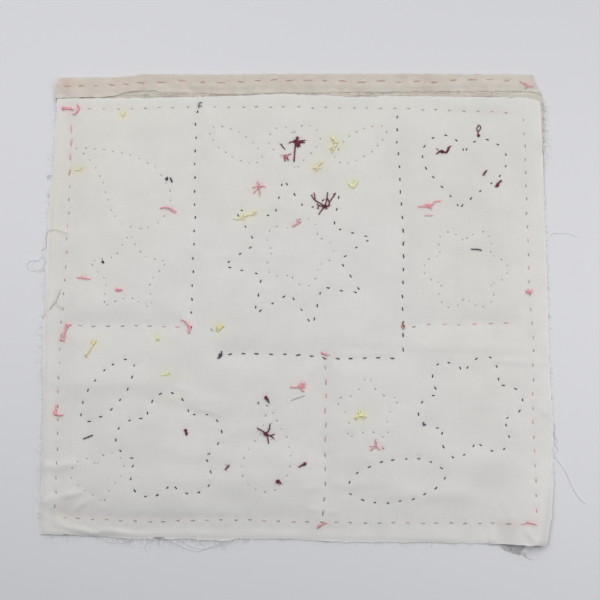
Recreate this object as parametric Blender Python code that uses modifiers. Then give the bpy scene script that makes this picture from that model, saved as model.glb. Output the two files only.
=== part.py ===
"""A patchwork quilt block of two cloths, laid face down on a flat surface.

The patchwork face lies underneath, and its top edge is turned over onto the back as a hem.
The white lining lies on it, sewn down along the border and the seams between the patches.
Both cloths are sheets on one shared set of soft creases, with their raw edges as uneven as cut.
The block stands on the plane z = 0, with the middle of its box at the origin, and its hem
towards +Y.
"""

import math

import bmesh
import bpy

MM = 0.001

# Cloths and folds, in millimetres.
CLOTH_THICK = 1.2
LAYER_GAP = 0.3
HEM_GAP = 0.5
HEM_LIFT = 0.5
FOLD_RADIUS = (CLOTH_THICK + HEM_GAP) / 2
FOLD_STEPS = 6

# Quilting: the lining puffs up between the sewn lines, and less in the loose margin round them.
PUFF = 1.3
MARGIN_PUFF = 0.4
PUFF_REACH = 9.0

# The share of each crease that the face takes too, and the height below which a crease lies flat.
FACE_SHARE = 0.35
FLAT_BELOW = 0.06

# The lining's lifted corner.
CORNER_LIFT = 4.6
CORNER_FROM = (112.0, -86.0)
CORNER_REACH = (38.0, 54.0)

# Where the grid's lines run, dense beside the sewn lines and across the creases, in millimetres.
COLUMNS = (
    -147, -142.3, -137.5, -124, -110, -96, -82, -68.5, -63.5, -58.5, -45, -31, -17, -2,
    12.5, 17.3, 22, 35, 48, 60, 64.8, 69.5, 84, 98, 111, 120, 127, 133, 138, 143, 146.3,
)  # fmt: skip
ROWS = (
    -135.5, -130, -125.5, -121, -116, -110.5, -103, -92.5, -86, -78, -68, -57, -48, -41,
    -36.5, -32, -27.5, -18, -12.4, -7, 5, 18, 31, 44, 57, 70, 83, 96, 108, 119.5, 124.5, 128,
)  # fmt: skip
HEM_ROWS = (132.5, 137, 141)

# Outlines, in millimetres: rows of (y, x) for the sides and (x, y) for the top and bottom.
LINING_LEFT = (
    (-138, -152.2), (-99, -152.7), (-60, -153.1), (-36, -154.0), (-12.4, -154.9), (-5, -153.8),
    (34, -154.2), (64, -153.3), (85, -152.1), (116, -151.6), (131, -150.4),
)  # fmt: skip
LINING_RIGHT = (
    (-144, 147.4), (-138, 149.2), (-125, 151.8), (-110, 153.4), (-68, 154.9), (-50, 153.9),
    (15, 154.2), (54, 154.1), (95, 153.9), (130, 153.2),
)  # fmt: skip
LINING_BOTTOM = (
    (-152, -137.2), (-132, -137.7), (-113, -138.8), (-93, -140.4), (-63, -140.0), (-42, -141.5),
    (-35, -140.1), (0, -140.1), (28, -141.9), (87, -142.1), (127, -143.0), (148, -143.8),
)  # fmt: skip
LINING_TOP = (
    (-151, 130.6), (-114, 131.2), (-76, 131.8), (-34, 133.0), (-10, 134.2), (9, 133.4),
    (38, 131.8), (56, 132.7), (91, 132.3), (118, 131.8), (149, 131.4), (154, 129.8),
)  # fmt: skip
FACE_LEFT = (
    (-137, -149.8), (0, -151.6), (80, -150.4), (118, -151.8), (132, -152.6), (139, -152.2),
    (144, -150.8),
)  # fmt: skip
FACE_RIGHT = (
    (-144, 147.2), (-110, 150.6), (60, 151.5), (96, 154.0), (114, 154.9), (131, 154.8),
    (135, 154.2), (139, 151.6), (143, 149.9), (147, 148.6),
)  # fmt: skip
FACE_BOTTOM = (
    (-150, -136.7), (-110, -137.8), (-60, -138.6), (0, -138.9), (60, -140.4), (110, -141.3),
    (126, -144.6), (133, -147.3), (140, -143.4), (148, -141.6),
)  # fmt: skip
FACE_FOLD = (
    (-151, 143.7), (-136, 144.6), (-111, 145.0), (-97, 146.9), (-42, 146.8), (-17, 147.3),
    (65, 147.2), (110, 147.0), (149, 146.6),
)  # fmt: skip
HEM_EDGE = (
    (-153, 131.6), (-124, 131.8), (-115, 132.9), (-106, 135.8), (-91, 136.4), (-86, 135.2),
    (-64, 134.8), (-42, 133.7), (-10, 135.0), (10, 134.6), (22, 135.2), (90, 135.7),
    (141, 135.8), (152, 134.8),
)  # fmt: skip

# Sewn lines, in millimetres: (x, y) of the start, then of the end.
SEWN_LINES = {
    "border_top": (-142, 124.6, 137, 122.8),
    "border_right": (143, 122.0, 143, -131.0),
    "border_bottom": (-142, -127.6, 140, -131.0),
    "border_left": (-141, 122.0, -143.6, -127.0),
    "seam_left": (-63.4, 125.0, -63.8, -12.6),
    "seam_right": (63.4, 122.0, 64.8, -31.6),
    "seam_low": (17.9, -31.0, 15.6, -131.0),
    "seam_across_left": (-140.5, -12.5, -65.5, -12.7),
    "seam_across_right": (65.0, -12.8, 133.0, -11.7),
    "seam_across_middle": (-46.6, -30.0, 64.0, -32.4),
}
# Creases, in millimetres: x, y, half length, half width on the side towards the hem, half width
# on the side away from it, turn in degrees, height.
CREASES = {
    "slope_to_bottom_line": (-62, -108.5, 60, 12.0, 15.0, 0, 1.2),
    "long_band": (-25, -103.5, 44, 8.0, 6.0, 1, 0.6),
    "middle_band": (-36, -91.5, 38, 8.0, 4.8, -2, 0.7),
    "band_over_low_patch": (-110, -47.5, 36, 8.0, 6.5, 0, 1.1),
    "slanting_band": (-62, -58, 24, 5.5, 4.5, -12, 0.7),
    "fold_at_left_edge": (-142, -97.5, 12, 4.0, 3.0, 5, 0.8),
    "band_at_right": (80, -114.0, 26, 8.0, 5.0, -1, 1.1),
    "curl_at_left_corner": (-140, -117, 9, 6.0, 5.0, 35, 1.2),
    "tuck_at_right_corner": (126, -131, 14, 4.5, 4.5, -70, 1.3),
}


def along(table, place):
    """The value at a place along a table of (place, value) rows, straight between rows."""
    if place <= table[0][0]:
        return table[0][1]
    for (start, low), (end, high) in zip(table, table[1:]):
        if place <= end:
            return low + (high - low) * (place - start) / (end - start)
    return table[-1][1]


def ease(share):
    """A smooth step from 0 to 1."""
    share = min(1.0, max(0.0, share))
    return share * share * (3 - 2 * share)


def line_distance(x, y, line):
    """How far a point is from a straight line between two points."""
    x0, y0, x1, y1 = line
    run, rise = x1 - x0, y1 - y0
    share = ((x - x0) * run + (y - y0) * rise) / (run * run + rise * rise)
    share = min(1.0, max(0.0, share))
    return math.hypot(x - x0 - share * run, y - y0 - share * rise)


def crease_height(x, y):
    """How high the creases stand at a point, and exactly 0 away from them."""
    height = 0.0
    for cx, cy, half_length, hem_side, far_side, turn, rise in CREASES.values():
        turned = math.radians(turn)
        lengthwise = (x - cx) * math.cos(turned) + (y - cy) * math.sin(turned)
        across = (y - cy) * math.cos(turned) - (x - cx) * math.sin(turned)
        half_width = hem_side if across > 0 else far_side
        height += rise * math.exp(-((lengthwise / half_length) ** 4) - (across / half_width) ** 2)
    return max(0.0, height - FLAT_BELOW)


def quilting_height(x, y):
    """How far the lining puffs up between its sewn lines."""
    nearest = min(line_distance(x, y, line) for line in SEWN_LINES.values())
    sewn_down = abs(x) < 143 and -131 < y < 124
    height = PUFF if sewn_down else MARGIN_PUFF
    return height * (1 - math.exp(-((nearest / PUFF_REACH) ** 2)))


def corner_lift(x, y):
    """How far the lining's loose corner stands off the face."""
    sideways = ease((x - CORNER_FROM[0]) / CORNER_REACH[0])
    downwards = ease((CORNER_FROM[1] - y) / CORNER_REACH[1])
    return CORNER_LIFT * sideways * downwards


def face_height(x, y):
    """The middle of the face's lower layer above the surface it lies on."""
    return CLOTH_THICK / 2 + FACE_SHARE * crease_height(x, y)


def lining_height(x, y):
    """The middle of the lining, clear of the face under it."""
    above_face = CLOTH_THICK + LAYER_GAP + (1 - FACE_SHARE) * crease_height(x, y)
    return face_height(x, y) + above_face + quilting_height(x, y) + corner_lift(x, y)


def hem_wave(x):
    """How far the hem's loose edge stands up along its length, from 0 to 1."""
    return 0.5 + 0.5 * math.sin(x / 19.0 + 1.2) * math.cos(x / 47.0)


def lining_points():
    """Rows of points over the lining, from its bottom edge to its top edge."""
    rows = [(None, LINING_BOTTOM)] + [(y, None) for y in ROWS] + [(None, LINING_TOP)]
    points = []
    for y_row, edge in rows:
        row = []
        for column in (-153, *COLUMNS, 153):
            y = along(edge, column) if edge else y_row
            x = column
            if column == -153:
                x = along(LINING_LEFT, y)
            elif column == 153:
                x = along(LINING_RIGHT, y)
            row.append((x, y, lining_height(x, y)))
        points.append(row)
    return points


def face_section(x):
    """The face's section at x: its lower layer, the fold at the top and the hem turned back."""
    section = [(along(FACE_BOTTOM, x), 0.0)]
    section += [(y, 0.0) for y in (*ROWS, *HEM_ROWS)]
    turn_at = along(FACE_FOLD, x) - FOLD_RADIUS - CLOTH_THICK / 2
    for step in range(FOLD_STEPS + 1):
        angle = math.pi * step / FOLD_STEPS
        round_fold = (
            turn_at + FOLD_RADIUS * math.sin(angle),
            FOLD_RADIUS * (1 - math.cos(angle)),
        )
        section.append(round_fold)
    loose_edge = along(HEM_EDGE, x)
    lifted = HEM_LIFT * hem_wave(x)
    hem_start = HEM_ROWS[-1]
    for share in (0.0, 0.5, 1.0):
        y = hem_start + (loose_edge - hem_start) * share
        section.append((y, 2 * FOLD_RADIUS + lifted * share))
    return section


def face_points():
    """Rows of points over the face, from its bottom edge, round the fold, to the hem's edge."""
    sections = [face_section(x) for x in (-151, *COLUMNS, 151)]
    points = []
    for places in zip(*sections):
        row = []
        for column, (y, above) in zip((-151, *COLUMNS, 151), places):
            x = column
            if column == -151:
                x = along(FACE_LEFT, y)
            elif column == 151:
                x = along(FACE_RIGHT, y)
            row.append((x, y, face_height(x, y) + above))
        points.append(row)
    return points


def sheet(name, points, material):
    """A closed sheet of cloth through rows of points, in millimetres, with an even thickness."""
    across, up = len(points[0]) - 1, len(points) - 1
    mesh = bpy.data.meshes.new(name)
    grid = bmesh.new()
    bmesh.ops.create_grid(grid, x_segments=across, y_segments=up, size=1)
    for vertex in grid.verts:
        column = round((vertex.co.x + 1) / 2 * across)
        row = round((vertex.co.y + 1) / 2 * up)
        vertex.co = [value * MM for value in points[row][column]]
    bmesh.ops.triangulate(grid, faces=grid.faces[:])
    grid.to_mesh(mesh)
    grid.free()
    mesh.materials.append(material)
    mesh.shade_smooth()
    cloth = bpy.data.objects.new(name, mesh)
    thickness = cloth.modifiers.new("thickness", "SOLIDIFY")
    thickness.thickness = CLOTH_THICK * MM
    thickness.offset = 0
    thickness.use_even_offset = True
    return cloth


def cotton(name, colour, roughness):
    """A plain matt cotton of one colour."""
    material = bpy.data.materials.new(name)
    material.use_nodes = True
    shader = material.node_tree.nodes["Principled BSDF"]
    shader.inputs["Base Color"].default_value = (*colour, 1)
    shader.inputs["Roughness"].default_value = roughness
    shader.inputs["Metallic"].default_value = 0
    return material


def main():
    for old in list(bpy.data.objects):
        bpy.data.objects.remove(old)
    collection = bpy.data.collections.new("quilt_block")
    bpy.context.scene.collection.children.link(collection)
    calico = cotton("face_cotton", (0.55, 0.49, 0.41), 0.9)
    muslin = cotton("lining_cotton", (0.72, 0.71, 0.67), 0.9)
    collection.objects.link(sheet("face_cloth", face_points(), calico))
    collection.objects.link(sheet("lining", lining_points(), muslin))


main()
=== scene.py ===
"""The looks of a patchwork quilt block that lies face down, its hemmed edge away from the viewer.

The block is two cloths. The beige patchwork face lies underneath, and its top edge is turned over
onto the back as a hem. The off-white lining lies on it, sewn down with running stitch. The stitches,
the quilting, the knots with their thread ends and the frayed edges are all modelled here.
Tables are in millimetres in the part's own frame, and MM turns them into metres.
"""

import logging
import math
import random
from collections.abc import Callable, Sequence
from dataclasses import dataclass, field
from enum import Enum

import bmesh
import bpy
import numpy as np
from mathutils import Euler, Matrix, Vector, noise


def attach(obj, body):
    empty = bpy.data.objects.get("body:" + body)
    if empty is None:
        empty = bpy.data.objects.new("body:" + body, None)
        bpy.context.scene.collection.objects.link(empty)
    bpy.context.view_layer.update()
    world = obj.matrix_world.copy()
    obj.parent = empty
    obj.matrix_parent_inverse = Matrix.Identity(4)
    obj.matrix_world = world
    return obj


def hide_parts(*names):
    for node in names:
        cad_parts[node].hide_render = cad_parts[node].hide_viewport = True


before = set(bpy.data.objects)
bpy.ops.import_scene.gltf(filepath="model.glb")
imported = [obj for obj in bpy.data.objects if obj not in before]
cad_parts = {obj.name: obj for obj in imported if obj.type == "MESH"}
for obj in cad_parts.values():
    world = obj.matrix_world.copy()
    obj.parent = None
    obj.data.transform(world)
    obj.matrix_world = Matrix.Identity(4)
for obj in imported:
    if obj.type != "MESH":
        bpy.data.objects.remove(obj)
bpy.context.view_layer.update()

MM = 0.001
BODY = "root"

Point = tuple[float, float]
Table = Sequence[Point]
UP = np.array([0.0, 0.0, 1.0])
log = logging.getLogger("quilt_block")

# How much of full light falls on the table and the cloths.
EXPOSURE = 0.86

# The cloth's thickness, the heights of the face's middle, and the gaps between the cloths, in
# millimetres. In the margin outside its border the face sinks to the table.
CLOTH = 0.4
FACE_MIDDLE = 0.62
MARGIN_MIDDLE = 0.30
MARGIN_SLOPE = 4.0
MARGIN_LEFT, MARGIN_RIGHT, MARGIN_BOTTOM = -142.5, 143.5, -129.5
BETWEEN = 0.22
CLEAR = 0.05
PAST_EDGE_SLOPE = 2.0

# The share of each crease that the face takes too, and the height below which a crease lies flat.
FACE_SHARE = 0.35
FLAT_BELOW = 0.06

# The lining puffs up between the sewn lines, and less in the margin round them.
PUFF = 1.1
MARGIN_PUFF = 0.25
LOW_MARGIN_PUFF = -0.15
LOW_MARGIN_TOP = -128
PUFF_REACH = 7.5
SEWN_HALF_WIDTH = 143
SEWN_BOTTOM, SEWN_TOP = -130, 124

# The lining's raised corner, which droops again towards its right edge.
CORNER_LIFT = 4.6
CORNER_FROM = (112.0, -86.0)
CORNER_REACH = (38.0, 54.0)
CORNER_DROOP = 0.6
DROOP_REACH = 6.0

# Outlines: rows of (y, x) for the sides and (x, y) for the top and bottom.
LINING_LEFT = (
    (-138, -152.2), (-99, -152.7), (-60, -153.1), (-36, -154.0), (-12.4, -154.9), (-5, -153.8),
    (34, -154.2), (64, -153.3), (85, -152.1), (116, -151.6), (131, -150.4),
)
LINING_RIGHT = (
    (-144, 147.4), (-138, 149.2), (-125, 151.8), (-110, 153.4), (-68, 154.9), (-50, 153.9),
    (15, 154.2), (54, 154.1), (95, 153.9), (125, 153.6), (129, 153.0), (131.5, 151.0),
)
LINING_BOTTOM = (
    (-152, -137.2), (-132, -137.7), (-113, -138.8), (-93, -140.4), (-63, -140.0), (-42, -141.5),
    (-35, -140.1), (0, -140.1), (28, -141.9), (87, -142.1), (127, -143.0), (148, -143.8),
)
LINING_TOP = (
    (-151, 131.1), (-138, 131.3), (-114, 131.2), (-76, 131.8), (-34, 133.0), (-10, 134.2), (9, 133.4),
    (38, 131.8), (56, 132.7), (91, 132.3), (118, 131.8), (147, 131.5), (154, 129.4),
)
FACE_LEFT = (
    (-137, -149.8), (0, -151.6), (80, -150.0), (124, -149.2), (130, -151.8), (139, -151.6),
    (143, -150.4), (146, -149.0),
)
FACE_RIGHT = (
    (-144, 147.2), (-110, 150.6), (60, 151.5), (96, 154.4), (114, 155.4), (131, 155.4),
    (135, 154.2), (139, 151.6), (143, 149.9), (147, 148.6),
)
FACE_BOTTOM = (
    (-150, -136.0), (-110, -136.7), (-60, -137.5), (0, -137.8), (60, -139.4), (110, -140.6),
    (124, -142.6), (128, -146.8), (137, -149.2), (140, -144.6), (142, -142.4), (148, -141.6),
)
FACE_FOLD = (
    (-151, 145.0), (-136, 145.0), (-113, 145.2), (-98, 147.1), (-42, 146.8), (-17, 147.3),
    (65, 147.2), (110, 147.0), (149, 146.6),
)
HEM_EDGE = (
    (-153, 131.6), (-124, 131.8), (-115, 132.9), (-106, 135.8), (-91, 136.4), (-86, 135.2),
    (-64, 134.8), (-42, 133.7), (-10, 135.0), (10, 134.6), (22, 135.2), (90, 135.7),
    (141, 135.8), (152, 134.8),
)


def linear(red: float, green: float, blue: float, exposure: float = 1.0) -> tuple[float, float, float]:
    """Turns a colour on the screen, 0 to 255, into the surface colour that shows as it.

    Args:
        red: The red of the colour as seen.
        green: Its green.
        blue: Its blue.
        exposure: How much of full light falls on the surface.

    Returns:
        The linear red, green and blue.
    """
    shares = (red / 255, green / 255, blue / 255)
    lit = (s / 12.92 if s <= 0.04045 else ((s + 0.055) / 1.055) ** 2.4 for s in shares)
    r, g, b = (value / exposure for value in lit)
    return r, g, b


def along(table: Table, places: np.ndarray) -> np.ndarray:
    """Reads a table of (place, value) rows at many places, straight between its rows."""
    return np.interp(places, [row[0] for row in table], [row[1] for row in table])


def ease(share: np.ndarray) -> np.ndarray:
    """A smooth step from 0 to 1."""
    share = np.clip(share, 0.0, 1.0)
    return share * share * (3 - 2 * share)


def ripple(xs: np.ndarray, ys: np.ndarray, size: float, layer: float) -> np.ndarray:
    """Smooth unevenness over the cloth.

    Args:
        xs: Places across, in millimetres.
        ys: Places up, in millimetres.
        size: How wide one swell is, in millimetres.
        layer: Picks one of many patterns.

    Returns:
        Values from about -1 to 1, shaped like the places.
    """
    places = zip(np.ravel(xs) / size, np.ravel(ys) / size)
    values = [noise.noise(Vector((x, y, layer))) for x, y in places]
    return 2 * np.array(values).reshape(np.shape(xs))


def height_at(heights: Callable[[np.ndarray, np.ndarray], np.ndarray], x: float, y: float) -> float:
    """Reads a cloth's height at one place."""
    return float(heights(np.array([x]), np.array([y]))[0])


def toned(share: np.ndarray, colour: Sequence[float]) -> np.ndarray:
    """What multiplies the cloth's colour where another colour has the given share."""
    return 1 - share[..., None] * (1 - np.array(colour))


def spotted(xs: np.ndarray, ys: np.ndarray, marks: Sequence[tuple]) -> np.ndarray:
    """Lays soft round marks over each other.

    Args:
        xs: Places across.
        ys: Places up.
        marks: Rows of x, y, reach across, reach up, and the colour that multiplies the cloth's own.

    Returns:
        The colour at each place, white where there is no mark.
    """
    tints = np.ones((*xs.shape, 3))
    for x, y, reach_x, reach_y, colour in marks:
        share = np.exp(-(((xs - x) / reach_x) ** 2) - ((ys - y) / reach_y) ** 2)
        tints *= toned(share, colour)
    return tints


def unit_rows(rows: np.ndarray) -> np.ndarray:
    """Gives each row a length of 1."""
    return rows / np.maximum(np.linalg.norm(rows, axis=1, keepdims=True), 1e-6)


def lengths_along(points: np.ndarray) -> np.ndarray:
    """How far along a line each of its points is."""
    return np.concatenate([[0.0], np.cumsum(np.linalg.norm(np.diff(points, axis=0), axis=1))])


def smooth_path(points: Sequence[Sequence[float]], spacing: float) -> np.ndarray:
    """Runs a rounded path through a few points.

    Args:
        points: The points, of two or three numbers each.
        spacing: How far apart the path's own points are, about.

    Returns:
        The path's points, one a row.
    """
    given = np.array(points, float)
    padded = np.vstack([2 * given[0] - given[1], given, 2 * given[-1] - given[-2]])
    path = [given[0]]
    for before, start, end, after in zip(padded, padded[1:], padded[2:], padded[3:]):
        steps = max(1, round(float(np.linalg.norm(end - start)) / spacing))
        for step in range(1, steps + 1):
            t = step / steps
            bend = (2 * before - 5 * start + 4 * end - after) * t * t
            turn = (3 * start - before - 3 * end + after) * t**3
            path.append(start + 0.5 * ((end - before) * t + bend + turn))
    return np.array(path)


def evenly(points: np.ndarray, pitch: float) -> tuple[np.ndarray, np.ndarray]:
    """Walks a line in equal steps.

    Args:
        points: The line's points, two numbers a row.
        pitch: The step, which is stretched a little to fit the line.

    Returns:
        The middles of the steps and the line's direction at each.
    """
    reach = lengths_along(points)
    count = max(1, round(reach[-1] / pitch))
    at = (np.arange(count) + 0.5) * reach[-1] / count
    behind, places, ahead = (
        np.stack([np.interp(at + shift, reach, points[:, axis]) for axis in (0, 1)], axis=1)
        for shift in (-0.4, 0.0, 0.4)
    )
    return places, ahead - behind


class Shade(Enum):
    """The colours of the threads, as seen in the light."""

    CORAL = (239, 153, 164)
    ROSE = (234, 180, 184)
    DUSTY = (212, 174, 174)
    MAUVE = (194, 172, 172)
    BRICK = (202, 158, 146)
    GREIGE = (166, 162, 158)
    CLARET = (118, 26, 50)
    WINE = (76, 20, 34)
    BLACK = (60, 60, 61)
    NAVY = (44, 43, 58)
    CHARTREUSE = (243, 243, 188)
    STRAW = (244, 234, 196)
    OLIVE = (232, 221, 146)
    PALE = (190, 189, 186)
    HAZE = (221, 222, 223)
    COTTON = (222, 222, 220)
    CALICO = (212, 208, 198)
    TAN = (222, 216, 200)


@dataclass(frozen=True)
class Crease:
    """A soft ridge in the cloth, or a trough where its rise is below 0, in millimetres."""

    x: float
    y: float
    half_length: float
    half_width: float
    turn: float
    rise: float
    near_side: float = 1.0

    def height(self, xs: np.ndarray, ys: np.ndarray) -> np.ndarray:
        """The crease's height at many places.

        Args:
            xs: Places across.
            ys: Places up.

        Returns:
            Heights, shaped like the places. The side nearer the viewer is narrower or wider by
            the share near_side.
        """
        turned = math.radians(self.turn)
        lengthwise = (xs - self.x) * math.cos(turned) + (ys - self.y) * math.sin(turned)
        across = (ys - self.y) * math.cos(turned) - (xs - self.x) * math.sin(turned)
        width = np.where(across < 0, self.half_width * self.near_side, self.half_width)
        return self.rise * np.exp(-((lengthwise / self.half_length) ** 4) - (across / width) ** 2)


MAIN_CREASES = (
    Crease(-62, -108.5, 60, 12.0, 0, 1.2, 1.25),
    Crease(-25, -103.5, 44, 8.0, 1, 0.6, 0.75),
    Crease(-36, -91.5, 38, 8.0, -2, 0.7, 0.6),
    Crease(-110, -47.5, 36, 8.0, 0, 1.1, 0.81),
    Crease(-62, -58, 24, 5.5, -12, 0.7, 0.82),
    Crease(-142, -97.5, 12, 4.0, 5, 0.8, 0.75),
    Crease(80, -114.0, 26, 8.0, -1, 1.1, 0.625),
    Crease(-140, -117, 9, 6.0, 35, 1.2, 0.83),
    Crease(126, -131, 14, 4.5, -70, 1.3),
)
FINE_CREASES = (
    Crease(-143, -97.0, 11, 2.0, 3, 0.5, 0.5),
    Crease(-72, -124.5, 42, 5.0, -1.5, 0.5, 0.5),
    Crease(137, -137, 7.5, 1.8, -53, 0.9, 0.6),
    Crease(124, -128, 13, 2.4, -66, -0.6),
    Crease(51, -136, 7, 3.6, 85, -0.9, 0.6),
    Crease(116, -137, 8, 2.6, 80, 0.9),
    Crease(111, -136, 8, 2.4, 84, -0.6),
    Crease(-68, -52, 5.5, 1.4, -14, 0.5, 0.6),
    Crease(-53, -65, 6.5, 1.6, -16, 0.5, 0.6),
    Crease(15.5, -124, 8, 1.6, -9, 0.7, 0.6),
    Crease(-147, -117, 6.5, 1.7, 34, 1.0, 0.6),
    Crease(-135, -114.5, 8.0, 1.8, 14, 1.0, 0.6),
    Crease(-130, -122, 7.5, 1.7, 38, 0.8, 0.6),
    Crease(-142, -125, 6, 2.2, -12, -0.6),
    Crease(-9.5, 122, 11, 1.6, 90, 0.3),
    Crease(-131, -134.0, 12, 1.6, -12, 1.2, 0.6),
    Crease(-119, -137.0, 6, 1.3, 10, 0.9, 0.6),
    Crease(-106, -136.0, 11, 1.6, -9, 1.0, 0.6),
    Crease(-93, -138.0, 7, 1.3, 5, 0.8, 0.6),
    Crease(-120, -132.5, 5, 1.5, -35, 0.6, 0.6),
    Crease(110, -26.5, 42, 4.0, -1, 0.45, 0.7),
    Crease(138, -36, 18, 2.0, -4, 0.5, 0.6),
    Crease(38, -30.6, 20, 1.2, 0, 0.9, 0.7),
    Crease(40, -108, 24, 4.5, 2, 0.5, 0.7),
    Crease(12, -110, 9, 2.5, 12, 0.4, 0.7),
    Crease(-22, 30, 30, 4.0, 1, 0.25),
    Crease(-100, 2, 34, 5.0, 2, 0.25),
    Crease(98, -91, 30, 5.0, -3, 0.3),
    Crease(-96, -14.5, 20, 1.2, -1, 0.4, 0.7),
    Crease(150, -66, 5, 1.8, -38, 0.8, 0.6),
    Crease(-20, -75, 26, 6.0, 8, 0.35, 0.7),
)

# Running stitch: the lines that join the patches and run round the border.
SEAM_LEFT = ((-61.3, 126.7), (-63, 118.9), (-63.4, 90), (-62.7, 51), (-63.7, 32.7), (-64, -9))
SEAM_RIGHT = (
    (63.7, 122.1), (62.9, 100), (64.5, 83.4), (65.6, 57), (66, 40), (65.1, -5), (64.5, -31.4),
)
SEAM_LOW = ((17.7, -34), (18, -60), (17.5, -90.5), (17.2, -112), (15.3, -129))
ACROSS_LEFT = ((-136, -12.5), (-100, -12.7), (-68, -13.1))
ACROSS_RIGHT = ((67, -13.1), (98, -11.6), (132.7, -11.6))
ACROSS_MIDDLE = (
    (-44, -30), (-28, -29.7), (-6, -30.3), (13.2, -31.4), (20, -33.2), (38, -32.3), (62, -33),
)
BORDER_TOP = ((-134, 124.5), (-104.6, 124.4), (-60.6, 125.7), (2.2, 125.5), (65, 124.7), (136, 121.8))
BORDER_RIGHT = (
    (142.6, 121.5), (143, 94.3), (143, 14), (144.2, -15.6), (144, -39.9), (142.8, -58), (143, -99.7),
    (142.1, -127.2),
)
BORDER_BOTTOM = (
    (-142.1, -126), (-137.9, -127.5), (-120, -128.4), (-87, -129.8), (-51, -128.6), (8, -129.8),
    (38, -130.4), (138.7, -131),
)
BORDER_LEFT = (
    (-140.8, 116), (-141, 79), (-141.4, 58.5), (-142.2, 24.6), (-143.1, -3.3), (-144.1, -47.2),
    (-143.2, -95), (-143.5, -125),
)
SEWN_LINES = (
    BORDER_TOP, BORDER_RIGHT, BORDER_BOTTOM, BORDER_LEFT, SEAM_LEFT, SEAM_RIGHT, SEAM_LOW,
    ACROSS_LEFT, ACROSS_RIGHT, ACROSS_MIDDLE,
)
HEM_STITCHES = (
    (-144, 139.1, 4.7), (-135.8, 139.4, 3.5), (-126.4, 139.4, 2.9), (-116.3, 139.8, 3.9),
    (-107.5, 140.4, 4.1), (-98, 141.3, 5), (-85.4, 141.7, 6.1), (-72.2, 142.8, 4.9),
    (-58.9, 141.7, 3.5), (-47.6, 141.5, 6.4), (-35, 141.9, 4.7), (-24.3, 142.8, 4.1),
    (-14.2, 143.2, 4.7), (-4.1, 142.9, 5.3), (7.3, 142.9, 6.8), (18, 142.8, 2.9),
    (29.4, 142.4, 5.5), (41.3, 141.7, 6.4), (53.3, 142.5, 5.9), (64.7, 141.7, 4.1),
    (76, 142.2, 4.5), (86.8, 141.7, 5.3), (99.4, 143, 4.7), (110.8, 143.2, 6.4),
    (122.1, 143.4, 4.7), (132.8, 142.8, 3.5),
)


def line_distance(xs: np.ndarray, ys: np.ndarray, line: Table) -> np.ndarray:
    """How far places are from a line of straight pieces.

    Args:
        xs: Places across.
        ys: Places up.
        line: The line's points.

    Returns:
        Distances, shaped like the places.
    """
    nearest = np.full(np.shape(xs), np.inf)
    for (x0, y0), (x1, y1) in zip(line, line[1:]):
        run, rise = x1 - x0, y1 - y0
        share = np.clip(((xs - x0) * run + (ys - y0) * rise) / (run * run + rise * rise), 0, 1)
        nearest = np.minimum(nearest, np.hypot(xs - x0 - share * run, ys - y0 - share * rise))
    return nearest


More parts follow.
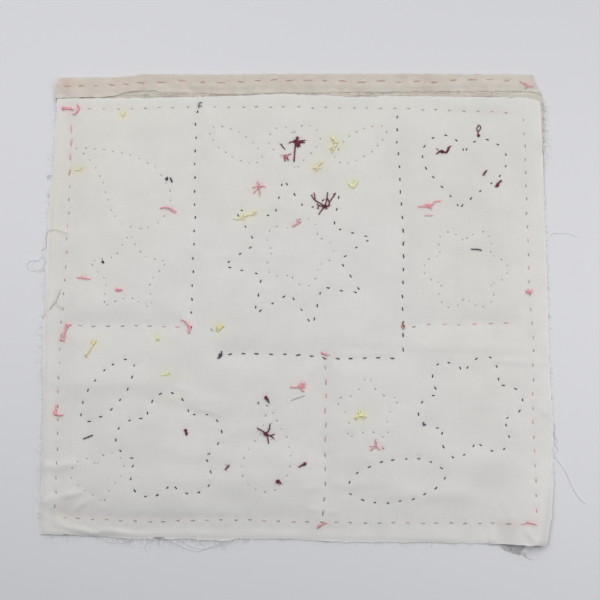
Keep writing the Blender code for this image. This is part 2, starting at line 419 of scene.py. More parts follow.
@dataclass
class ClothStack:
    """How high the two cloths lie, and the pinches that the sewing makes in them."""

    pinches: list[tuple[float, float, float, float]] = field(default_factory=list)

    def creases(self, xs: np.ndarray, ys: np.ndarray) -> np.ndarray:
        """How far the creases that both cloths share stand up."""
        return np.maximum(sum(crease.height(xs, ys) for crease in MAIN_CREASES) - FLAT_BELOW, 0)

    def face(self, xs: np.ndarray, ys: np.ndarray) -> np.ndarray:
        """The middle of the face's lower layer.

        Args:
            xs: Places across.
            ys: Places up.

        Returns:
            Heights in millimetres, lower in the margin outside the border.
        """
        inside = np.minimum.reduce([xs - MARGIN_LEFT, MARGIN_RIGHT - xs, ys - MARGIN_BOTTOM])
        base = MARGIN_MIDDLE + (FACE_MIDDLE - MARGIN_MIDDLE) * ease(1 + inside / MARGIN_SLOPE)
        return base + FACE_SHARE * self.creases(xs, ys)

    def past_face(self, xs: np.ndarray, ys: np.ndarray) -> np.ndarray:
        """How far places are past the face's raw edges.

        Args:
            xs: Places across.
            ys: Places up.

        Returns:
            Shares from 0 on the face to 1 on the table.
        """
        outside = np.maximum.reduce(
            [along(FACE_LEFT, ys) - xs, xs - along(FACE_RIGHT, ys), along(FACE_BOTTOM, xs) - ys]
        )
        return ease((outside - 0.2) / PAST_EDGE_SLOPE)

    def support(self, xs: np.ndarray, ys: np.ndarray) -> np.ndarray:
        """What the lining lies on: the face, or the table past the face's raw edges.

        Args:
            xs: Places across.
            ys: Places up.

        Returns:
            The lowest height that the lining's middle may have, in millimetres.
        """
        past = self.past_face(xs, ys)
        return (1 - past) * (self.face(xs, ys) + CLOTH + CLEAR) + past * (CLOTH / 2 + CLEAR)

    def lining(self, xs: np.ndarray, ys: np.ndarray) -> np.ndarray:
        """The middle of the lining, clear of the face under it.

        Args:
            xs: Places across.
            ys: Places up.

        Returns:
            Heights in millimetres, before any stitch pinches the cloth.
        """
        nearest = np.minimum.reduce([line_distance(xs, ys, line) for line in SEWN_LINES])
        sewn_down = (np.abs(xs) < SEWN_HALF_WIDTH) & (ys > SEWN_BOTTOM) & (ys < SEWN_TOP)
        flatter = 1 - 0.85 * ease((xs - 20) / 30) * ease((-95 - ys) / 15)
        margin = np.where(ys < LOW_MARGIN_TOP, LOW_MARGIN_PUFF, MARGIN_PUFF)
        full = np.where(sewn_down, PUFF * flatter, margin)
        puff = full * (1 - np.exp(-((nearest / PUFF_REACH) ** 2)))
        sideways = ease((xs - CORNER_FROM[0]) / CORNER_REACH[0])
        downwards = ease((CORNER_FROM[1] - ys) / CORNER_REACH[1])
        drooping = CORNER_DROOP * ease(1 - (along(LINING_RIGHT, ys) - xs) / DROOP_REACH)
        lifted = CORNER_LIFT * sideways * downwards * (1 - drooping)
        shared = (1 - FACE_SHARE) * self.creases(xs, ys)
        fine = sum(crease.height(xs, ys) for crease in FINE_CREASES)
        loose = 1 - np.exp(-((nearest / 5) ** 2))
        swells = loose * (0.28 * ripple(xs, ys, 34, 0.3) + 0.12 * ripple(xs * 0.6, ys * 1.5, 15, 4.1))
        puckers = 0.09 * ripple(xs, ys, 5.5, 7.7) * np.exp(-((nearest / 6) ** 2))
        raised = shared + puff + fine * (0.3 + 0.7 * loose) + swells + puckers
        laid = 1 - 0.9 * self.past_face(xs, ys)
        return self.support(xs, ys) + np.maximum(raised + BETWEEN, 0) * laid + lifted

    def lining_top(self, x: float, y: float) -> float:
        """The top of the lining at one place."""
        return height_at(self.lining, x, y) + CLOTH / 2

    def pinch(self, x: float, y: float, depth: float, reach: float) -> None:
        """Notes a place where a stitch pulls the lining down."""
        self.pinches.append((x, y, depth, reach))

    def pinched(self, xs: np.ndarray, ys: np.ndarray) -> np.ndarray:
        """How far the stitches pull the lining down.

        Args:
            xs: Places across.
            ys: Places up.

        Returns:
            Drops in millimetres, shaped like the places.
        """
        drop = np.zeros(np.shape(xs))
        for x, y, depth, reach in self.pinches:
            near = (np.abs(xs - x) < 3 * reach) & (np.abs(ys - y) < 3 * reach)
            off = ((xs[near] - x) ** 2 + (ys[near] - y) ** 2) / reach**2
            drop[near] = np.maximum(drop[near], depth * np.exp(-off))
        return drop


class NodeTree:
    """A short way to build a material's nodes."""

    def __init__(self, name: str) -> None:
        """Starts a material with its shader.

        Args:
            name: The material's name.
        """
        self.material = bpy.data.materials.new(name)
        self.material.use_nodes = True
        self.tree = self.material.node_tree
        self.shader = self.tree.nodes["Principled BSDF"]
        self.coordinates = self.tree.nodes.new("ShaderNodeTexCoord").outputs["Object"]

    def plug(self, socket: bpy.types.NodeSocket, value: object) -> None:
        """Feeds an input.

        Args:
            socket: The input.
            value: The output, or a value for the input itself.
        """
        if isinstance(value, bpy.types.NodeSocket):
            self.tree.links.new(value, socket)
        else:
            socket.default_value = value

    def finish(self, **inputs: object) -> bpy.types.Material:
        """Feeds the shader.

        Args:
            **inputs: A value or an output for each named input, with _ for a space.

        Returns:
            The material.
        """
        for key, value in inputs.items():
            self.plug(self.shader.inputs[key.replace("_", " ")], value)
        return self.material

    def add(self, kind: str, settings: dict | None = None, **inputs: object) -> bpy.types.Node:
        """Adds a node.

        Args:
            kind: The node's type, without its ShaderNode prefix.
            settings: Its own settings.
            **inputs: A value or an output for each input, by name with _ for a space, or i and its
                number.

        Returns:
            The node.
        """
        node = self.tree.nodes.new("ShaderNode" + kind)
        for key, value in (settings or {}).items():
            setattr(node, key, value)
        for key, value in inputs.items():
            place = int(key[1:]) if key[1:].isdigit() else key.replace("_", " ")
            self.plug(node.inputs[place], value)
        return node

    def math(self, operation: str, first: object, second: object = 0.0) -> bpy.types.NodeSocket:
        """Adds a math node and gives its output."""
        return self.add("Math", {"operation": operation}, i0=first, i1=second).outputs[0]

    def noise(
        self, size: float, stretch: tuple[float, float, float] = (1, 1, 1), detail: float = 2.0
    ) -> bpy.types.NodeSocket:
        """Adds noise with swells of one size.

        Args:
            size: How wide a swell is, in millimetres.
            stretch: How much longer the swells are along X, Y and Z.
            detail: How many finer layers it has.

        Returns:
            The noise's value, around a half.
        """
        scale = tuple(1 / (size * MM * longer) for longer in stretch)
        mapping = self.add("Mapping", Vector=self.coordinates, Scale=scale)
        return self.add("TexNoise", Vector=mapping.outputs[0], Scale=1.0, Detail=detail).outputs[0]

    def tint(self, base: bpy.types.NodeSocket, by: bpy.types.NodeSocket) -> bpy.types.NodeSocket:
        """Multiplies a colour by another."""
        settings = {"data_type": "RGBA", "blend_type": "MULTIPLY"}
        return self.add("Mix", settings, i0=1.0, i6=base, i7=by).outputs[2]

    def ramp(
        self, value: bpy.types.NodeSocket, low: Sequence[float], high: Sequence[float], ends: Point
    ) -> bpy.types.NodeSocket:
        """Turns a value into a colour between two.

        Args:
            value: The value.
            low: The colour at and below the first end.
            high: The colour at and above the second end.
            ends: Where the two colours stand.

        Returns:
            The colour.
        """
        node = self.add("ValToRGB", Fac=value)
        first, last = node.color_ramp.elements
        first.position, last.position = ends
        first.color, last.color = (*low, 1), (*high, 1)
        return node.outputs[0]


@dataclass(frozen=True)
class ClothFinish:
    """A plain weave cotton."""

    name: str
    colour: tuple[float, float, float]
    cloud: tuple[float, float, float]
    speck: float
    thread_pitch: float = 0.48
    weave_depth: float = 0.05

    def material(self) -> bpy.types.Material:
        """Builds the cotton's material: cloudy colour, slubs along both threads, and the weave.

        Returns:
            The material. It multiplies its colour by the piece's attribute named tint.
        """
        nodes = NodeTree(self.name)
        clouds = nodes.ramp(nodes.noise(26, detail=3), self.cloud, self.colour, (0.32, 0.62))
        warp = nodes.noise(0.55, (1, 26, 1))
        weft = nodes.noise(0.55, (26, 1, 1))
        slubs = nodes.math("ADD", warp, weft)
        streaks = nodes.ramp(slubs, (0.968, 0.968, 0.965), (1.0, 1.0, 1.0), (0.8, 1.1))
        specks = nodes.ramp(nodes.noise(1.1, detail=0), (1 - self.speck,) * 3, (1, 1, 1), (0.2, 0.3))
        painted = nodes.add("Attribute", {"attribute_name": "tint"}).outputs["Color"]
        return nodes.finish(
            Base_Color=nodes.tint(nodes.tint(nodes.tint(clouds, streaks), specks), painted),
            Roughness=0.92,
            Specular_IOR_Level=0.25,
            Sheen_Weight=0.12,
            Sheen_Roughness=0.5,
            Normal=self.weave(nodes, slubs),
        )

    def weave(self, nodes: NodeTree, slubs: bpy.types.NodeSocket) -> bpy.types.NodeSocket:
        """Makes the bump of the crossing threads.

        Args:
            nodes: The material's nodes.
            slubs: The threads' uneven thickness.

        Returns:
            The bump's normal.
        """
        scale = 0.1 * math.pi / (self.thread_pitch * MM)
        bands = [
            nodes.add(
                "TexWave", {"bands_direction": axis}, Vector=nodes.coordinates, Scale=scale,
                Distortion=1.2, Detail=1.0, Detail_Scale=0.05,
            ).outputs["Fac"]
            for axis in ("X", "Y")
        ]
        crossing = nodes.math("MULTIPLY", bands[0], bands[1])
        height = nodes.math("ADD", crossing, nodes.math("MULTIPLY", slubs, 0.9))
        return nodes.add("Bump", Strength=0.5, Distance=self.weave_depth * MM, Height=height).outputs[0]


@dataclass(frozen=True)
class ThreadFinish:
    """A matt spun thread of one shade."""

    shade: Shade
    dullest: float = 0.78

    def material(self) -> bpy.types.Material:
        """Builds the thread's material, a little uneven along its length.

        Returns:
            The material, made once for each shade.
        """
        name = "thread_" + self.shade.name.lower()
        made = bpy.data.materials.get(name)
        if made:
            return made
        nodes = NodeTree(name)
        full = linear(*self.shade.value, EXPOSURE)
        dull = tuple(value * self.dullest for value in full)
        bump = nodes.add("Bump", Strength=0.5, Distance=0.05 * MM, Height=nodes.noise(0.16, detail=1))
        return nodes.finish(
            Base_Color=nodes.ramp(nodes.noise(0.7, detail=3), dull, full, (0.3, 0.62)),
            Roughness=0.7,
            Sheen_Weight=0.25,
            Normal=bump.outputs[0],
        )


LINING_FINISH = ClothFinish(
    "lining_cotton",
    linear(214, 211.5, 207, EXPOSURE),
    linear(210, 207.5, 203, EXPOSURE),
    0.03,
)
FACE_FINISH = ClothFinish(
    "face_calico",
    linear(205, 198, 187, EXPOSURE),
    linear(200, 188, 177, EXPOSURE),
    0.12,
)


def link(piece: bpy.types.Object) -> bpy.types.Object:
    """Puts an object in the scene."""
    bpy.context.scene.collection.objects.link(piece)
    return piece


def as_mesh(name: str, shape: bmesh.types.BMesh) -> bpy.types.Mesh:
    """Makes a mesh of a finished shape.

    Args:
        name: The mesh's name.
        shape: The shape, which is freed.

    Returns:
        The mesh.
    """
    mesh = bpy.data.meshes.new(name)
    shape.to_mesh(mesh)
    shape.free()
    return mesh


def points_of(mesh: bpy.types.Mesh) -> np.ndarray:
    """Reads a mesh's points.

    Args:
        mesh: The mesh.

    Returns:
        Its points, one a row.
    """
    flat = np.empty(len(mesh.vertices) * 3)
    mesh.vertices.foreach_get("co", flat)
    return flat.reshape(-1, 3)


def put_down(piece: bpy.types.Object) -> bpy.types.Object:
    """Puts a finished piece in the scene, riding on the block.

    Args:
        piece: The piece, with its place in its mesh.

    Returns:
        The piece.
    """
    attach(link(piece), BODY)
    log.info("%s: %d faces", piece.name, len(piece.data.polygons))
    return piece


def sheet_object(
    name: str, places: np.ndarray, tints: np.ndarray, material: bpy.types.Material
) -> bpy.types.Object:
    """Makes a thin cloth through a grid of places.

    Args:
        name: The piece's name.
        places: Rows and columns of places, in millimetres.
        tints: The colour that multiplies the cloth's own at each place.
        material: The cloth's material.

    Returns:
        The cloth, a closed sheet of even thickness.
    """
    rows, columns = places.shape[:2]
    grid = bmesh.new()
    bmesh.ops.create_grid(grid, x_segments=columns - 1, y_segments=rows - 1, size=1)
    mesh = as_mesh(name, grid)
    unit = points_of(mesh)
    column = np.rint((unit[:, 0] + 1) / 2 * (columns - 1)).astype(int)
    row = np.rint((unit[:, 1] + 1) / 2 * (rows - 1)).astype(int)
    mesh.vertices.foreach_set("co", (places[row, column] * MM).ravel())
    painted = mesh.attributes.new("tint", "FLOAT_COLOR", "POINT")
    opaque = np.ones((len(unit), 1))
    painted.data.foreach_set("color", np.hstack([tints[row, column], opaque]).ravel())
    rough = link(bpy.data.objects.new(name + "_surface", mesh))
    thick = rough.modifiers.new("thickness", "SOLIDIFY")
    thick.thickness = CLOTH * MM
    thick.offset = 0
    bpy.context.view_layer.update()
    solid = bpy.data.meshes.new_from_object(rough.evaluated_get(bpy.context.evaluated_depsgraph_get()))
    bpy.data.objects.remove(rough)
    solid.name = name
    solid.materials.clear()
    solid.materials.append(material)
    solid.shade_smooth()
    solid.set_sharp_from_angle(angle=math.radians(60))
    return bpy.data.objects.new(name, solid)


@dataclass
class Lining:
    """The off-white backing, with its sewn-down puffs, creases and stitch marks."""

    stack: ClothStack
    columns: int = 221
    rows: int = 197

    def places(self) -> np.ndarray:
        """Where the lining's points lie.

        Returns:
            Rows and columns of places, with ragged edges along the outlines.
        """
        across, up = np.meshgrid(np.linspace(0, 1, self.columns), np.linspace(0, 1, self.rows))
        rough_x = -153 + 306 * across
        low = along(LINING_BOTTOM, rough_x) + 0.35 * ripple(rough_x, 0 * rough_x, 5, 1.0)
        high = along(LINING_TOP, rough_x) + 0.3 * ripple(rough_x, 0 * rough_x, 5, 2.0)
        ys = low + (high - low) * up
        left = along(LINING_LEFT, ys) + 0.4 * ripple(ys, 0 * ys, 5, 3.0)
        right = along(LINING_RIGHT, ys) + 0.35 * ripple(ys, 0 * ys, 5, 5.0)
        xs = left + (right - left) * across
        heights = self.stack.lining(xs, ys) - self.stack.pinched(xs, ys)
        self.curl(xs, ys, heights)
        return np.stack([xs, ys, np.maximum(heights, self.stack.support(xs, ys))], axis=-1)

    def curl(self, xs: np.ndarray, ys: np.ndarray, heights: np.ndarray) -> None:
        """Lifts and ripples the raw edges a little, in place.

        Args:
            xs: Places across.
            ys: Places up.
            heights: The heights there, which are changed.
        """
        for edge, inward, strength in (
            (ys, np.exp(-(((xs - xs[:, :1]) / 3.5) ** 2)), 0.07),
            (ys, np.exp(-(((xs[:, -1:] - xs) / 3.5) ** 2)), 0.08),
            (xs, np.exp(-(((ys - ys[:1]) / 4.5) ** 2)), 0.3),
            (xs, np.exp(-(((ys[-1:] - ys) / 3.0) ** 2)), 0.22),
        ):
            heights += inward * strength * (0.15 + ripple(edge, 0 * edge, 12, 9.0))

    def tints(self, places: np.ndarray) -> np.ndarray:
        """Where the lining is stained or shows what is under it, with painted shade and light.

        Args:
            places: Rows and columns of places.

        Returns:
            The colour at each place, white where the cloth is clean.
        """
        xs, ys = places[..., 0], places[..., 1]
        reach = GLOW_REACH
        glows = [(k.x, k.y, reach, reach, GLOWS[k.shades[0]]) for k in KNOTS if k.shades[0] in GLOWS]
        tints = spotted(xs, ys, [*STAINS_SHADE_AND_HIGHLIGHTS, *glows])
        for line in PINK_LINES:
            share = 0.55 * np.exp(-((line_distance(xs, ys, line) / 2.0) ** 2))
            tints *= toned(share, PINK_LINE_GLOW)
        inside = np.minimum.reduce([xs - xs[:, :1], xs[:, -1:] - xs, ys - ys[:1], ys[-1:] - ys])
        # Painted light: lighter within about 5 mm of the raw edges and most in the outer millimetre, where
        # the rim catches light.
        tints *= (1 + 0.03 * np.exp(-((inside / 5) ** 2)))[..., None]
        tints *= (1 + 0.08 * np.exp(-((inside / 0.6) ** 2)))[..., None]
        return tints

    def build(self) -> bpy.types.Object:
        """Makes the lining in place of its solid.

        Returns:
            The lining.
        """
        places = self.places()
        piece = sheet_object("lining_sheet", places, self.tints(places), LINING_FINISH.material())
        put_down(piece)
        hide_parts("lining")
        return piece


# The colour that each family of threads gives to the cloth round it.
GLOW_REACH = 3.4
GLOWS = {
    Shade.CORAL: (1.0, 0.955, 0.96),
    Shade.CLARET: (1.0, 0.972, 0.978),
    Shade.CHARTREUSE: (1.0, 1.0, 0.90),
    Shade.STRAW: (1.0, 0.985, 0.91),
}

# Lines where pink stitches tint the cloth round them. The strongest stretch is there twice.
PINK_LINE_GLOW = (1.0, 0.955, 0.955)
PINK_LINES = (
    ((-141.5, 118), (-141, 84), (-142, 30)),
    ((-141.5, 116), (-141, 84)),
    ((-138, 124.6), (-90, 124.6)),
    ((100, 123.5), (136, 121.8)),
    ((143, 6), (144, -60), (142.5, -128)),
    ((17.8, -34), (17.6, -95)),
    ((-142, -126), (-60, -129)),
    ((118, -131), (140, -131)),
)

# Stains on the lining, with some rows of painted shade and a painted highlight: x, y, reach across, reach
# up, and the colour that multiplies the cloth's own.
STAINS_SHADE_AND_HIGHLIGHTS = (
    (-108.4, 120.0, 4, 5, (1.0, 0.99, 0.9)),
    (-135, 85.5, 6, 4, (1.0, 0.995, 0.92)),
    (24, 101, 8, 9, (1.0, 1.0, 0.9)),
    (13.5, 86, 7, 6, (1.0, 0.985, 0.93)),
    (34, 76, 6, 6, (0.99, 1.0, 0.92)),
    (-30, 55.5, 12, 4, (0.99, 1.0, 0.9)),
    (-27, 66, 7, 9, (1.0, 0.99, 0.95)),
    (-46.5, -14, 5, 5, (1.0, 0.99, 0.88)),
    (-84.3, -21, 3, 5, (0.99, 1.0, 0.92)),
    (-123, -24, 6, 5, (1.0, 0.985, 0.92)),
    (-78.5, -43, 8, 3, (0.98, 0.98, 0.91)),
    (-76, -57.5, 7, 3, (1.0, 1.0, 0.93)),
    (38.5, -67.5, 6, 6, (0.99, 1.0, 0.88)),
    (31.7, -78.9, 5, 3.5, (0.94, 0.94, 0.94)),
    (81, -69.5, 6, 3, (0.965, 0.955, 0.99)),
    (84, -103, 8, 5, (0.985, 0.98, 1.0)),
    (-142, 124.5, 9, 4, (1.0, 0.955, 0.96)),
    (-142, -20, 5, 9, (1.0, 0.95, 0.955)),
    (-145, -66, 6, 5, (1.0, 0.96, 0.96)),
    (128, -133, 12, 7, (1.0, 0.98, 0.98)),
    (-140, -121, 12, 7, (1.0, 0.975, 0.965)),
    (-23, 74, 6, 6, (1.0, 0.96, 0.96)),
    (2.8, -50, 6, 5, (1.0, 0.955, 0.96)),
    (82, 61, 8, 4, (1.0, 0.96, 0.96)),
    (0, 134, 220, 55, (1.0, 1.0, 0.977)),
    (112, 40, 32, 90, (0.978, 0.976, 0.966)),
    (-140, 85, 42, 60, (1.0, 0.988, 0.968)),
    (-148, 62, 4, 52, (1.0, 0.985, 0.97)),
    # Painted shade along the fold at the lower right corner.
    (127, -127, 4, 17, (0.965, 0.958, 0.962)),
    # Painted highlight on a fold at the lower right corner.
    (115.5, -138, 3.5, 6, (1.025, 1.025, 1.02)),
    (129, -131, 3, 4, (1.0, 0.97, 0.973)),
    # Painted shade in a fold's trough near the bottom edge.
    (51, -136.5, 4, 5, (0.95, 0.95, 0.955)),
    # Painted shade in the curls of the bottom edge, in this row and the next two.
    (-130, -137.3, 10, 1.2, (0.9, 0.9, 0.89)),
    (-112, -138, 6, 1.0, (0.92, 0.92, 0.915)),
    (-94, -136.6, 5, 1.3, (0.95, 0.95, 0.95)),
    (-136, -131.5, 8, 3.0, (1.0, 0.985, 0.965)),
    # A darker spot at the right edge.
    (152.6, 100, 1.4, 3.2, (0.92, 0.92, 0.90)),
)


@dataclass
class FaceCloth:
    """The patchwork face: its lower layer, the fold and the hem turned back over it."""

    stack: ClothStack
    columns: int = 301
    lower_rows: int = 60
    strip_rows: int = 22
    fold_rows: int = 9
    hem_rows: int = 20
    fold_radius: float = 0.6

    def hem_line(self, xs: np.ndarray) -> np.ndarray:
        """Where the hem's stitches run."""
        return np.interp(xs, [s[0] for s in HEM_STITCHES], [s[1] for s in HEM_STITCHES])

    def hem_height(self, xs: np.ndarray, ys: np.ndarray) -> np.ndarray:
        """How high the middle of the turned hem lies.

        Args:
            xs: Places across.
            ys: Places up.

        Returns:
            Heights in millimetres.
        """
        laid = FACE_MIDDLE + CLOTH + CLEAR
        turned = FACE_MIDDLE + 2 * self.fold_radius
        from_line = ys - self.hem_line(xs)
        to_edge = ease(-from_line / 7)
        gaping = 0.6 * np.exp(-(((xs + 126) / 15) ** 4)) + 0.03 + 0.1 * ripple(xs, 0 * ys, 21, 13.0)
        heights = turned + (laid + gaping - turned) * to_edge
        heights += 0.26 * ripple(xs, ys, 9, 11.0) + 0.14 * ripple(xs, ys, 3.6, 12.0)
        heights += 0.24 * np.exp(-(((from_line + 3.2) / 1.8) ** 2))
        for x, y, length in HEM_STITCHES:
            for end in (x - length / 2, x + length / 2):
                heights -= 0.35 * np.exp(-((xs - end) ** 2 + (ys - y) ** 2) / 1.5**2)
        return np.maximum(heights, laid)

    def hem_top(self, x: float, y: float) -> float:
        """The top of the hem at one place."""
        return height_at(self.hem_height, x, y) + CLOTH / 2

    def places(self) -> np.ndarray:
        """Where the face's points lie, from its bottom edge, round the fold, to the hem's edge.

        Returns:
            Rows and columns of places.
        """
        rough_x = np.linspace(-152, 152, self.columns)
        level = 0 * rough_x
        low = along(FACE_BOTTOM, rough_x) + 0.3 * ripple(rough_x, level, 4, 21.0)
        fold = along(FACE_FOLD, rough_x) + 0.22 * ripple(rough_x, level, 6, 22.0)
        edge = along(HEM_EDGE, rough_x) + 0.3 * ripple(rough_x, level, 4, 23.0)
        turn_at = fold - self.fold_radius - CLOTH / 2
        ys, lifts, on_hem = [], [], []
        shares = [np.linspace(0, 0.93, self.lower_rows), np.linspace(0.933, 1, self.strip_rows)]
        for share in np.concatenate(shares):
            ys.append(low + (turn_at - low) * share)
            lifts.append(level)
            on_hem.append(False)
        for angle in np.linspace(0, math.pi, self.fold_rows + 2)[1:-1]:
            ys.append(turn_at + self.fold_radius * math.sin(angle))
            lifts.append(level + self.fold_radius * (1 - math.cos(angle)))
            on_hem.append(False)
        for share in np.linspace(0, 1, self.hem_rows):
            ys.append(turn_at + (edge - turn_at) * share)
            lifts.append(level)
            on_hem.append(True)
        rows_y = np.array(ys)
        left = along(FACE_LEFT, rows_y) + 0.35 * ripple(rows_y, 0 * rows_y, 4, 24.0)
        right = along(FACE_RIGHT, rows_y) + 0.35 * ripple(rows_y, 0 * rows_y, 4, 25.0)
        xs = left + (right - left) * np.linspace(0, 1, self.columns)
        strip = ease((rows_y - 129) / 2) * ease((136 - rows_y) / 2) * (xs < 150)
        tucks = ripple(xs, rows_y * 0.5, 2.6, 33.0) + ripple(xs * 0.2, rows_y, 1.3, 34.0)
        flat = self.stack.face(xs, rows_y) + np.array(lifts) + strip * (0.04 + 0.09 * tucks)
        blend = ease((turn_at - rows_y) / 3.5)
        hem = self.hem_height(xs, rows_y)
        turned = (1 - blend) * (FACE_MIDDLE + 2 * self.fold_radius) + blend * hem
        heights = np.where(np.array(on_hem)[:, None], turned, flat)
        return np.stack([xs, rows_y, heights], axis=-1)

    def tints(self, places: np.ndarray) -> np.ndarray:
        """Each patch's tone, the hem warmer by its stitches, painted shade on the strip and the tongue.

        Args:
            places: Rows and columns of places.

        Returns:
            The colour at each place.
        """
        xs, ys = places[..., 0], places[..., 1]
        upper = ys > -12.5
        middle = (np.abs(xs) < 64) & (ys > -32)
        tone = np.select(
            [middle, upper & (xs < 0), upper, xs < 17.5],
            [0.97, 1.0, 0.94, 0.95],
            default=1.0,
        )
        tints = np.repeat(tone[..., None], 3, axis=-1)
        hem = (ys > 128) & (np.arange(len(xs)) >= self.lower_rows + self.strip_rows)[:, None]
        from_line = ys - self.hem_line(xs)
        blush = np.clip(0.75 + 0.6 * ripple(xs, ys * 1.6, 11, 30.0), 0, 1.3)
        warm = np.exp(-(((from_line - 1) / 3.4) ** 2)) * blush
        mossy = ease((-2.5 - from_line) / 2.5) * ease((xs + 120) / 30)
        hem_tint = spotted(xs, ys, HEM_MARKS) * (1 + 0.035 * ripple(xs, ys, 7, 31.0))[..., None]
        hem_tint *= toned(warm, WARM_HEM) * toned(mossy, MOSSY_HEM)
        # Painted shade: fine streaks along the strip that stand for small folds and puckers.
        fold_streak_shade = 1 + 0.05 * ripple(xs * 0.25, ys, 1.1, 35.0) + 0.03 * ripple(xs, ys, 3.0, 36.0)
        # Painted light just under the hem's edge, lightening the shade that the hem casts there.
        lit_under_hem_edge = np.exp(-(((ys - along(HEM_EDGE, xs)) / 0.9) ** 2)) * ease((xs + 116) / 10)
        inner = np.array(SHADED_STRIP) * (fold_streak_shade * (1 + 0.2 * lit_under_hem_edge))[..., None]
        peeking = ease((xs - 150.5) / 2.5) * (ys > 80)
        # Painted shade on the tongue of face cloth under the lifted corner of the lining.
        tongue = ease((-139 - ys) / 2) * ease((xs - 120) / 4)
        tints = tints * toned(peeking, PEEKING_EDGE) * toned(tongue, SHADED_CORNER_TONGUE)
        tints = np.where(hem[..., None], hem_tint, tints)
        return np.where(((ys > 126) & ~hem)[..., None], inner, tints)

    def build(self) -> bpy.types.Object:
        """Makes the face cloth in place of its solid.

        Returns:
            The face cloth.
        """
        places = self.places()
        piece = sheet_object("face_sheet", places, self.tints(places), FACE_FINISH.material())
        put_down(piece)
        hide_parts("face_cloth")
        return piece


# What multiplies the face's colour: beside the hem's stitches, towards its edge, on the strip under that
# edge (painted shade), where the face peeks out at the right, and on the tongue at the corner (painted shade
# under the lifted lining).
WARM_HEM = (0.985, 0.96, 0.94)
MOSSY_HEM = (0.995, 1.005, 0.99)
SHADED_STRIP = (0.935, 0.945, 0.93)
PEEKING_EDGE = (1.12, 1.15, 1.2)
SHADED_CORNER_TONGUE = (0.72, 0.78, 0.90)

# Spots on the hem, in rows like those of the stains: tints of the cloth, a darker dot at (28, 137.6), and
# painted shade along the fold in the rows at y 145.
HEM_MARKS = (
    (-146.5, 142.5, 5.0, 5.0, (1.02, 0.96, 0.95)),
    (-140, 134.5, 16, 3.5, (1.03, 1.045, 1.055)),
    (151, 141, 2.5, 7, (0.97, 1.0, 0.96)),
    (146, 139.5, 4.5, 3.0, (1.0, 0.95, 0.94)),
    # Painted shade along the fold, in the rows near y 145.
    (17, 145.2, 4.5, 1.8, (0.93, 0.92, 0.90)),
    (66, 145, 3.5, 1.8, (0.92, 0.91, 0.90)),
    (28, 137.6, 2.0, 1.4, (0.92, 0.91, 0.88)),
    (-30, 144.6, 4.0, 2.0, (0.95, 0.95, 0.92)),
    (-66, 145, 12, 2.2, (0.98, 0.985, 0.96)),
    (108, 145, 18, 2.4, (0.975, 0.985, 0.96)),
)


class StrandShapes:
    """Straight tubes of unit radius, one for each number of sides and rings."""

    def __init__(self) -> None:
        """Starts with no tube made."""
        self.made: dict[tuple[int, int], tuple[bpy.types.Mesh, np.ndarray, np.ndarray]] = {}

    def get(self, sides: int, rings: int) -> tuple[bpy.types.Mesh, np.ndarray, np.ndarray]:
        """Gives a tube, made once.

        Args:
            sides: How many sides it has.
            rings: How many rings of points it has.

        Returns:
            Its mesh, and each point's ring and angle.
        """
        key = (sides, rings)
        if key not in self.made:
            tube = bmesh.new()
            bmesh.ops.create_cone(
                tube, cap_ends=True, segments=sides, radius1=1, radius2=1, depth=rings - 1
            )
            for ring in range(1, rings - 1):
                everything = tube.verts[:] + tube.edges[:] + tube.faces[:]
                level = ring - (rings - 1) / 2
                bmesh.ops.bisect_plane(tube, geom=everything, plane_co=(0, 0, level), plane_no=(0, 0, 1))
            mesh = as_mesh("strand", tube)
            unit = points_of(mesh)
            ring_of = np.rint(unit[:, 2] + (rings - 1) / 2).astype(int)
            self.made[key] = (mesh, ring_of, np.arctan2(unit[:, 1], unit[:, 0]))
        return self.made[key]


STRANDS = StrandShapes()


